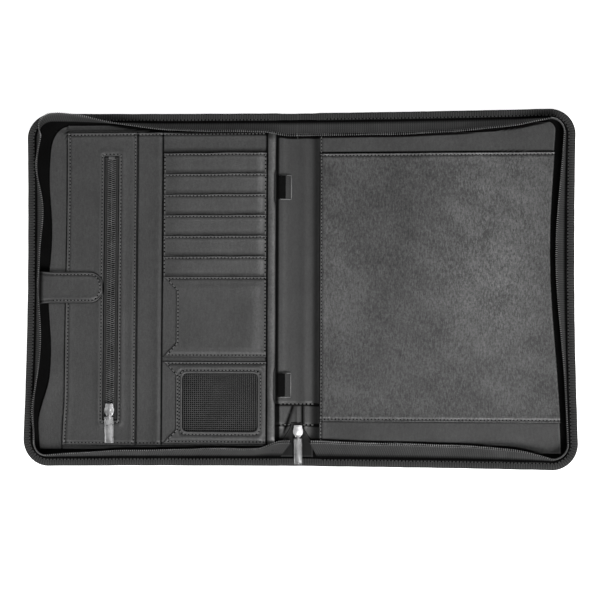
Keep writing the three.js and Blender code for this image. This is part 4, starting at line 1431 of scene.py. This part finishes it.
def slider(name, node, body, profile, material, grow):
    """A cast slider: two shield plates, a post between them, and the lugs that hold its pull."""
    x0, x1, y0, y1, z0, z1 = span(node)
    cx, half = (x0 + x1) / 2, (x1 - x0) / 2 * grow
    top = z1 - 1.4
    length = y1 - y0
    down = np.linspace(0, 1, 25)
    wide = half * np.interp(down, *zip(*profile))

    def shield(shrink):
        rows = [(max(w - shrink, 0.3), y1 - shrink - (length - 2 * shrink) * t)
                for w, t in zip(wide, down)]
        return [(cx + w, y) for w, y in rows] + [(cx - w, y) for w, y in reversed(rows)]

    post = rounded_outline(cx - half * 0.45, cx + half * 0.45, y1 - length * 0.5, y1 - 0.6, 1.2)
    turns = np.linspace(0, 2 * math.pi, 25)[:-1]
    boss_r, boss_y = half * 0.42, y1 - length * 0.42
    boss = [(cx + boss_r * math.cos(a), boss_y + boss_r * math.sin(a)) for a in turns]
    shapes = [
        ("", shield(0), z0, z0 + 0.9, 0.25),
        ("_upper", shield(0), top - 1.0, top - 0.2, 0.3),
        ("_crown", shield(1.0), top - 0.5, top + 0.25, 0.35),
        ("_post", post, z0 + 0.5, top - 0.5, 0.2),
        ("_boss", boss, top, top + 0.6, 0.25),
    ]
    for x in (cx - 2.2, cx + 2.2):
        lug = rounded_outline(x - 0.4, x + 0.4, y0 + 1.2, y0 + 3.2, 0.3)
        shapes.append(("_lug", lug, top - 0.4, z1, 0.2))
    parts = [outlined(name + part, shape, low, high, material, bevel)
             for part, shape, low, high, bevel in shapes]
    return fixed(joined(name, parts), body, [node])


# A slider's outline: half width at each share of its length, both as shares, from the top down.
MAIN_SHIELD = ((0, 0.77), (0.2, 0.83), (0.36, 0.95), (0.5, 1), (0.64, 0.93), (0.78, 0.68),
               (0.91, 0.32), (1, 0.15))
INNER_SHIELD = ((0, 0.83), (0.28, 0.83), (0.38, 0.95), (0.52, 1), (0.7, 0.9), (0.88, 0.62),
                (1, 0.35))


def pull(name, node, body, pivot, tilt_deg, material):
    """A flat cast pull: a neck on a pin between the lugs, and a bevelled bar."""
    x0, x1, y0, _, _, _ = span(node)
    cx, half = (x0 + x1) / 2, (x1 - x0) / 2
    py, pz = pivot
    tilt = math.radians(tilt_deg)
    length = (py - y0) / math.cos(tilt)
    shapes = [("", (cx - half, cx + half, -length, -2.4), -0.55, 0.45, 0.2)]
    for sign in (-1, 1):
        rail = sorted((cx + sign * half, cx + sign * (half - 1.2)))
        shapes.append(("_rail", (*rail, -length, -3.0), -0.2, 0.95, 0.35))
    shapes.append(("_foot", (cx - half, cx + half, -length, -length + 1.3), -0.2, 0.95, 0.35))
    shapes.append(("_neck", (cx - 1.4, cx + 1.4, -4.4, 0.5), -0.5, 0.5, 0.25))
    parts = [outlined(name + part, rounded_outline(*box, 0.5), low, high, material, bevel)
             for part, box, low, high, bevel in shapes]
    pin = [[(cx + reach, 0.0, 0.0)] for reach in (-2.5, 2.5)]
    parts.append(capsules(name + "_pin", *pin, 0.42, material, sides=12))
    obj = joined(name, parts)
    co = np.array([v.co for v in obj.data.vertices])
    y, z = co[:, 1].copy(), co[:, 2].copy()
    co[:, 1] = py * MM + y * math.cos(tilt) - z * math.sin(tilt)
    co[:, 2] = pz * MM + y * math.sin(tilt) + z * math.cos(tilt)
    obj.data.vertices.foreach_set("co", co.ravel())
    return fixed(obj, body, [node])


# ---- magnetic tab ----


def tab():
    """A tab sewn under the binding, that lies over the document pocket's edge."""
    _, x1, y0, y1, _, z1 = span("tab_front")
    radius, inset = 13, 2.8
    half, cy = (y1 - y0) / 2, (y0 + y1) / 2
    root, free = -252.3, -236

    def rim(sign):
        def edge(x):
            past = np.clip(x - (x1 - radius), 0, radius)
            round_end = half - radius + np.sqrt(radius ** 2 - past ** 2)
            return cy + sign * (round_end + 1.2 * hump((x - root) / 8))
        return edge

    soft = waves(101, 26)

    def arch(x, y):
        fall = (z1 - 7.8) * ease((-247 - x) / 5)
        crown = 0.35 * (1 - ((y - cy) / half) ** 2)
        droop = 0.9 * ease((x - x1 + 22) / 22)
        return -fall + crown - droop + 0.08 * soft(x, y)

    sheet = Sheet(root, x1, rim(-1), rim(1), z1 - 1.9, 1.9, arch, turned="rbt",
                  stitched={"t": inset, "b": inset}, rim=1.1)
    xs = lines(root, x1, 2.5)
    share = np.linspace(-1, 1, 41)
    share = np.sign(share) * np.abs(share) ** 0.75
    x = np.repeat(xs[:, None], len(share), axis=1)
    upper, lower = rim(1)(xs)[:, None], rim(-1)(xs)[:, None]
    y = (upper + lower) / 2 + (upper - lower) / 2 * share
    z = sheet.height(x, y)
    under = np.minimum(z1 - 2.3 + arch(x, y), z - 0.25)
    top, bottom = (np.stack([x, y, v], axis=-1) for v in (z, under))
    obj = slab("closure_tab_leather", top, bottom, LEATHER, painted_light=sheet.painted_light(x, y))
    settle(["tab_front", "tab_back", "tab_anchor"])
    corners = (2 - math.pi / 2) * radius ** 2
    cloth(obj, x1 - root, y1 - y0, "laid", "left_edge_binding_cloth",
          (x1 - root) * (y1 - y0) - corners)
    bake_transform(obj)
    line = [(x, rim(1)(x) - inset) for x in np.linspace(free, x1 - 10, 30)]
    for a in np.linspace(math.radians(70), math.radians(-70), 14):
        rise = math.copysign(half - radius, a) * min(1, abs(a)) + (radius - inset) * math.sin(a)
        line.append((x1 - radius + (radius - inset) * math.cos(a), cy + rise))
    line += [(x, rim(-1)(x) + inset) for x in np.linspace(x1 - 10, free, 30)]
    sew("closure_tab", sheet, line)


# ---- spine ----


# Heights up the page of the two seams across the spine.
SPINE_SEAMS = (-111, -131)


def gather_slant(y):
    """Where the slanting gather below the spine's lower seam runs."""
    return -4.5 + (y + 114) * 0.33


def spine_relief(x, y):
    """Soft lengthwise waves in the spine leather, with gathers below its lower seam."""
    swell = humps(x, (0.8, -16, 4), (1.0, 8, 5.5), (-0.4, 16.5, 3))
    gathers = humps(x, (0.9, 0.8, 1.6), (0.8, 8.2, 1.5), (0.7, -14.5, 2.0))
    gathers = gathers - 1.0 * hump((x - gather_slant(y)) / 1.8)
    below = ease((-110 - y) / 5)
    past_seam = ease((-131 - y) / 4)
    body = swell * (1 - 0.7 * below) + gathers * below * (1 - 0.8 * past_seam)
    return body - 0.5 * past_seam + 0.12 * waves(111, 30)(x, y)


def spine_height(x, y):
    """Upper face of the spine leather; it dies away onto the covers."""
    away = np.abs(x)
    seams = humps(y, (-0.9, SPINE_SEAMS[0], 1.4), (-0.7, SPINE_SEAMS[1], 1.3))
    fade = ease((24.5 - away) / 6)
    return on_cover(away, SPINE_TOP + 0.35, 5.75) + (0.4 + spine_relief(x, y) + seams) * fade


def spine_painted_light(x, y):
    """Painted highlights on the ridges and gathers, painted shade beside the roll, on the right flank,
    between the gathers, at the seams and under the zip tape.
    """
    ridge = 0.55 * hump((x + 14) / 4) * ease((y + 108) / 4)
    painted_light = humps(x, (-0.6, 19.5, 5.5), (-1.7, -19.3, 1.7)) + ridge
    painted_light = painted_light + humps(y, (-0.9, -112, 1.1), (-0.8, -131.5, 1.2)) - 1.6 * under_tape(x, y)
    dark = hump((x - gather_slant(y)) / 1.8) + humps(x, (1, 5.4, 1.4), (1, -18.5, 1.8))
    light = humps(x, (1, 1, 1.5), (0.8, 9, 1.4), (0.8, -14, 1.8))
    below = ease((-112 - y) / 2)
    painted_light = painted_light + below * (0.6 * light - 1.1 * dark - 0.15 * ease((x - 11) / 3))
    return np.clip(painted_light, -1, 1)


def spine_leather():
    """The spine's inner leather, in two halves that meet at mid-spine."""
    for side, sign in SIDES.items():
        ys = lines(-150, 152, 4, (*SPINE_SEAMS, 146))
        x, y = np.meshgrid(np.linspace(0, 23.2, 32), ys, indexing="ij")
        sx = sign * x
        z = spine_height(sx, y)
        under = np.minimum(on_cover(x, SPINE_TOP - 0.3, 5.3), z - 0.3)
        top, bottom = (np.stack([sx, y, v], axis=-1) for v in (z, under))
        obj = slab(f"{side}_spine_leather", top, bottom, SPINE_LEATHER, painted_light=spine_painted_light(sx, y))
        bent(obj, ["spine_lining"] if side == "left" else [])
        cloth(obj, 24, 302, "laid", "spine_stiffener")
    for y in SPINE_SEAMS:
        sew("spine", lambda x, y: spine_height(x, y) + 0.15, straight(-16.8, y, 16.8, y))


def spine_ends():
    """Gathered fabric that closes each end of the spine under the zip tapes."""
    for end, sign in (("top", 1), ("bottom", -1)):
        node = f"spine_{end}_gusset"
        _, x1, y0, y1, z0, _ = span(node)
        inner = 148.0 if sign > 0 else 128.5
        pleat = waves(121, 9)

        def flank(y):
            return 5.5 + (x1 - 5) * ease((np.abs(y) - inner) / 24)

        def relief(x, y):
            past = np.abs(y) - inner
            return 0.5 * hump((past - 2) / 3) + 0.25 * np.cos(x * 0.8) + 0.2 * pleat(x, y * 0.3)

        low, high = (inner, y1 + 1) if sign > 0 else (y0 - 1, -inner)
        sheet = Sheet(lambda y: -flank(y), flank, low, high, z0 + 0.5, 0.7, relief, rim=0.6,
                      eaves=0.3)
        obj = fixed(sheet.build(f"{node}_cloth", WEB, step=1.5), "spine", [node])
        widths = 2 * flank(np.linspace(low, high, 30))
        cloth(obj, widths.max(), high - low, "laid", "left_spine_leather",
              widths.mean() * (high - low))


def pen_loop(node):
    """A band of elastic that arches off the spine, with a lighter strip over its right slope and a
    light bead along its edges, both painted highlights.
    """
    x0, x1, y0, y1, z0, z1 = span(node)
    x0, x1 = x0 - 1.3, x1 + 0.6
    cx, half = (x0 + x1) / 2, (x1 - x0) / 2
    arch = []
    for u in (1 - np.cos(np.linspace(0, math.pi, 23))) / 2:
        shape = abs(math.sin(math.pi * u ** 0.6)) ** 0.6
        arch.append((x0 + 2 * half * u, z0 + 0.75 + (z1 - z0 - 0.8) * shape))
    inner = [(cx + (x - cx) * 0.88, z0 + 0.7 + max(0, z - z0 - 1.45)) for x, z in arch]
    profile = arch + inner[::-1]
    ys = [y0, y0 + 0.3, y0 + 1.0, *np.linspace(y0 + 2, y1 - 2, 8), y1 - 1.0, y1 - 0.3, y1]
    rings = []
    for y in ys:
        edge = 1 - 0.06 * (hump((y - y0) / 0.7) + hump((y1 - y) / 0.7))
        rings.append([(cx + (x - cx) * edge, y, z0 + (z - z0) * edge) for x, z in profile])
    obj = tube(node + "_elastic", np.array(rings), ELASTIC)
    fixed(obj, "spine", [node])
    # A lighter strip over the right slope, as a painted highlight.
    right = [(x, z) for x, z in arch if x > cx + 0.2 * half]
    fold = [(x + 0.3, z + 0.3) for x, z in right] + [(x - 0.3, z - 0.2) for x, z in reversed(right)]
    fold_rings = [[(x, y, z) for x, z in fold] for y in np.linspace(y0 - 0.1, y1 + 0.1, 8)]
    highlight_strip = tube(node + "_cuff", np.array(fold_rings), LOOP_HIGHLIGHT_STRIP)
    fixed(highlight_strip, "spine", [])
    # A light bead along the edges, as a painted highlight.
    bead_z = z0 + 1.5
    edge_x = x1 + 0.5
    starts = [(edge_x, y0, bead_z), (x0 + 3, y0 - 0.3, z1 - 0.9), (cx + 3, y1 + 0.3, z1 - 1.6)]
    ends = [(edge_x, y1, bead_z), (edge_x, y0 - 0.3, bead_z), (edge_x, y1 + 0.3, bead_z)]
    bead = capsules(node + "_bead", starts, ends, 0.5, LOOP_HIGHLIGHT_BEAD, sides=8)
    fixed(bead, "spine", [])
    cloth(obj, y1 - y0, travelled(np.array(arch))[-1], "stretched", "left_spine_leather",
          with_pieces=[highlight_strip, bead])


# ---- CAD nodes that stay ----


def carried_over():
    """Hidden boards and magnets keep their CAD shapes and get a material."""
    looks = {
        "left_cover_board": BOARD, "right_cover_board": BOARD, "spine_stiffener": BOARD,
        "tab_magnet": METAL, "tab_magnet_plate": METAL,
    }
    for node, look in looks.items():
        obj = frame["nodes"][node]
        obj.data.materials.clear()
        obj.data.materials.append(look)


# ---- stage ----


# Name, place, aim, width and length in metres, and watts.
LIGHTS = (
    ("key", (0.85, -1.9, 2.6), (0.05, 0.0, 0), (1.2, 1.2), 140),
    ("fill", (-1.5, 0.6, 1.9), (0, 0, 0), (1.4, 1.4), 11),
    ("strip", (0.38, 0.12, 2.3), (0.2, 0.0, 0), (0.2, 0.7), 8),
)


def stage():
    size, drop = 4.0, -0.0003
    corners = [(-size, -size, drop), (size, -size, drop), (size, size, drop), (-size, size, drop)]
    floor = bpy.data.meshes.new("floor")
    floor.from_pydata(corners, [], [(0, 1, 2, 3)])
    ground = bpy.data.objects.new("floor", floor)
    m = Nodes("floor_paint")
    pale = m.ramp(m.noise(m.place(), 30, detail=3), (0, 0.88), (1, 0.93))
    floor.materials.append(m.set(Base_Color=pale, Roughness=0.7, Emission_Color=pale,
                                 Emission_Strength=0.8))
    bpy.context.collection.objects.link(ground)
    world = bpy.data.worlds.new("studio")
    world.use_nodes = True
    background = world.node_tree.nodes["Background"]
    background.inputs["Color"].default_value = (1, 1, 1, 1)
    background.inputs["Strength"].default_value = 0.15
    bpy.context.scene.world = world
    for name, at, towards, size, watts in LIGHTS:
        area_light(name, at, towards, size, watts)
    bpy.context.scene.view_settings.view_transform = "Standard"


def area_light(name, at, towards, size, watts):
    light = bpy.data.lights.new(name, "AREA")
    light.shape = "RECTANGLE"
    light.size, light.size_y = size
    light.energy = watts
    obj = bpy.data.objects.new(name, light)
    obj.location = at
    direction = Vector(towards) - Vector(at)
    obj.rotation_euler = direction.to_track_quat("-Z", "Y").to_euler()
    bpy.context.collection.objects.link(obj)


# ---- the whole case ----

for cover in SIDES:
    foam_pad(cover)
    outer_skin(cover)
    lining(cover)
    binding(cover)
    zip_tape(cover)
right_pockets()
document_pocket()
organiser(inner_zip())
spine_roll()
cards()
pass_pocket()
id_pocket()
slider("inner_slider_casting", "inner_zip_slider", "inner_slider", INNER_SHIELD, HALF_SHADED_METAL, 1.0)
slider("main_slider_casting", "main_zip_slider", "spine", MAIN_SHIELD, METAL, 1.18)
joints = {j["name"]: j for j in frame["joints"]}
for casting, node, body, joint, tilt, cast in (
    ("inner_pull_casting", "inner_zip_pull", "inner_pull", "inner_pull_swing", 4, HALF_SHADED_METAL),
    ("main_pull_casting", "main_zip_pull", "main_pull", "main_pull_swing", 5, SHADED_METAL),
):
    pivot = joints[joint]["pos_m"]
    pull(casting, node, body, (pivot[1] / MM, pivot[2] / MM), tilt, cast)
tab()
spine_leather()
spine_ends()
pen_loop("pen_loop_upper")
pen_loop("pen_loop_lower")
make_stitches()
carried_over()
stage()
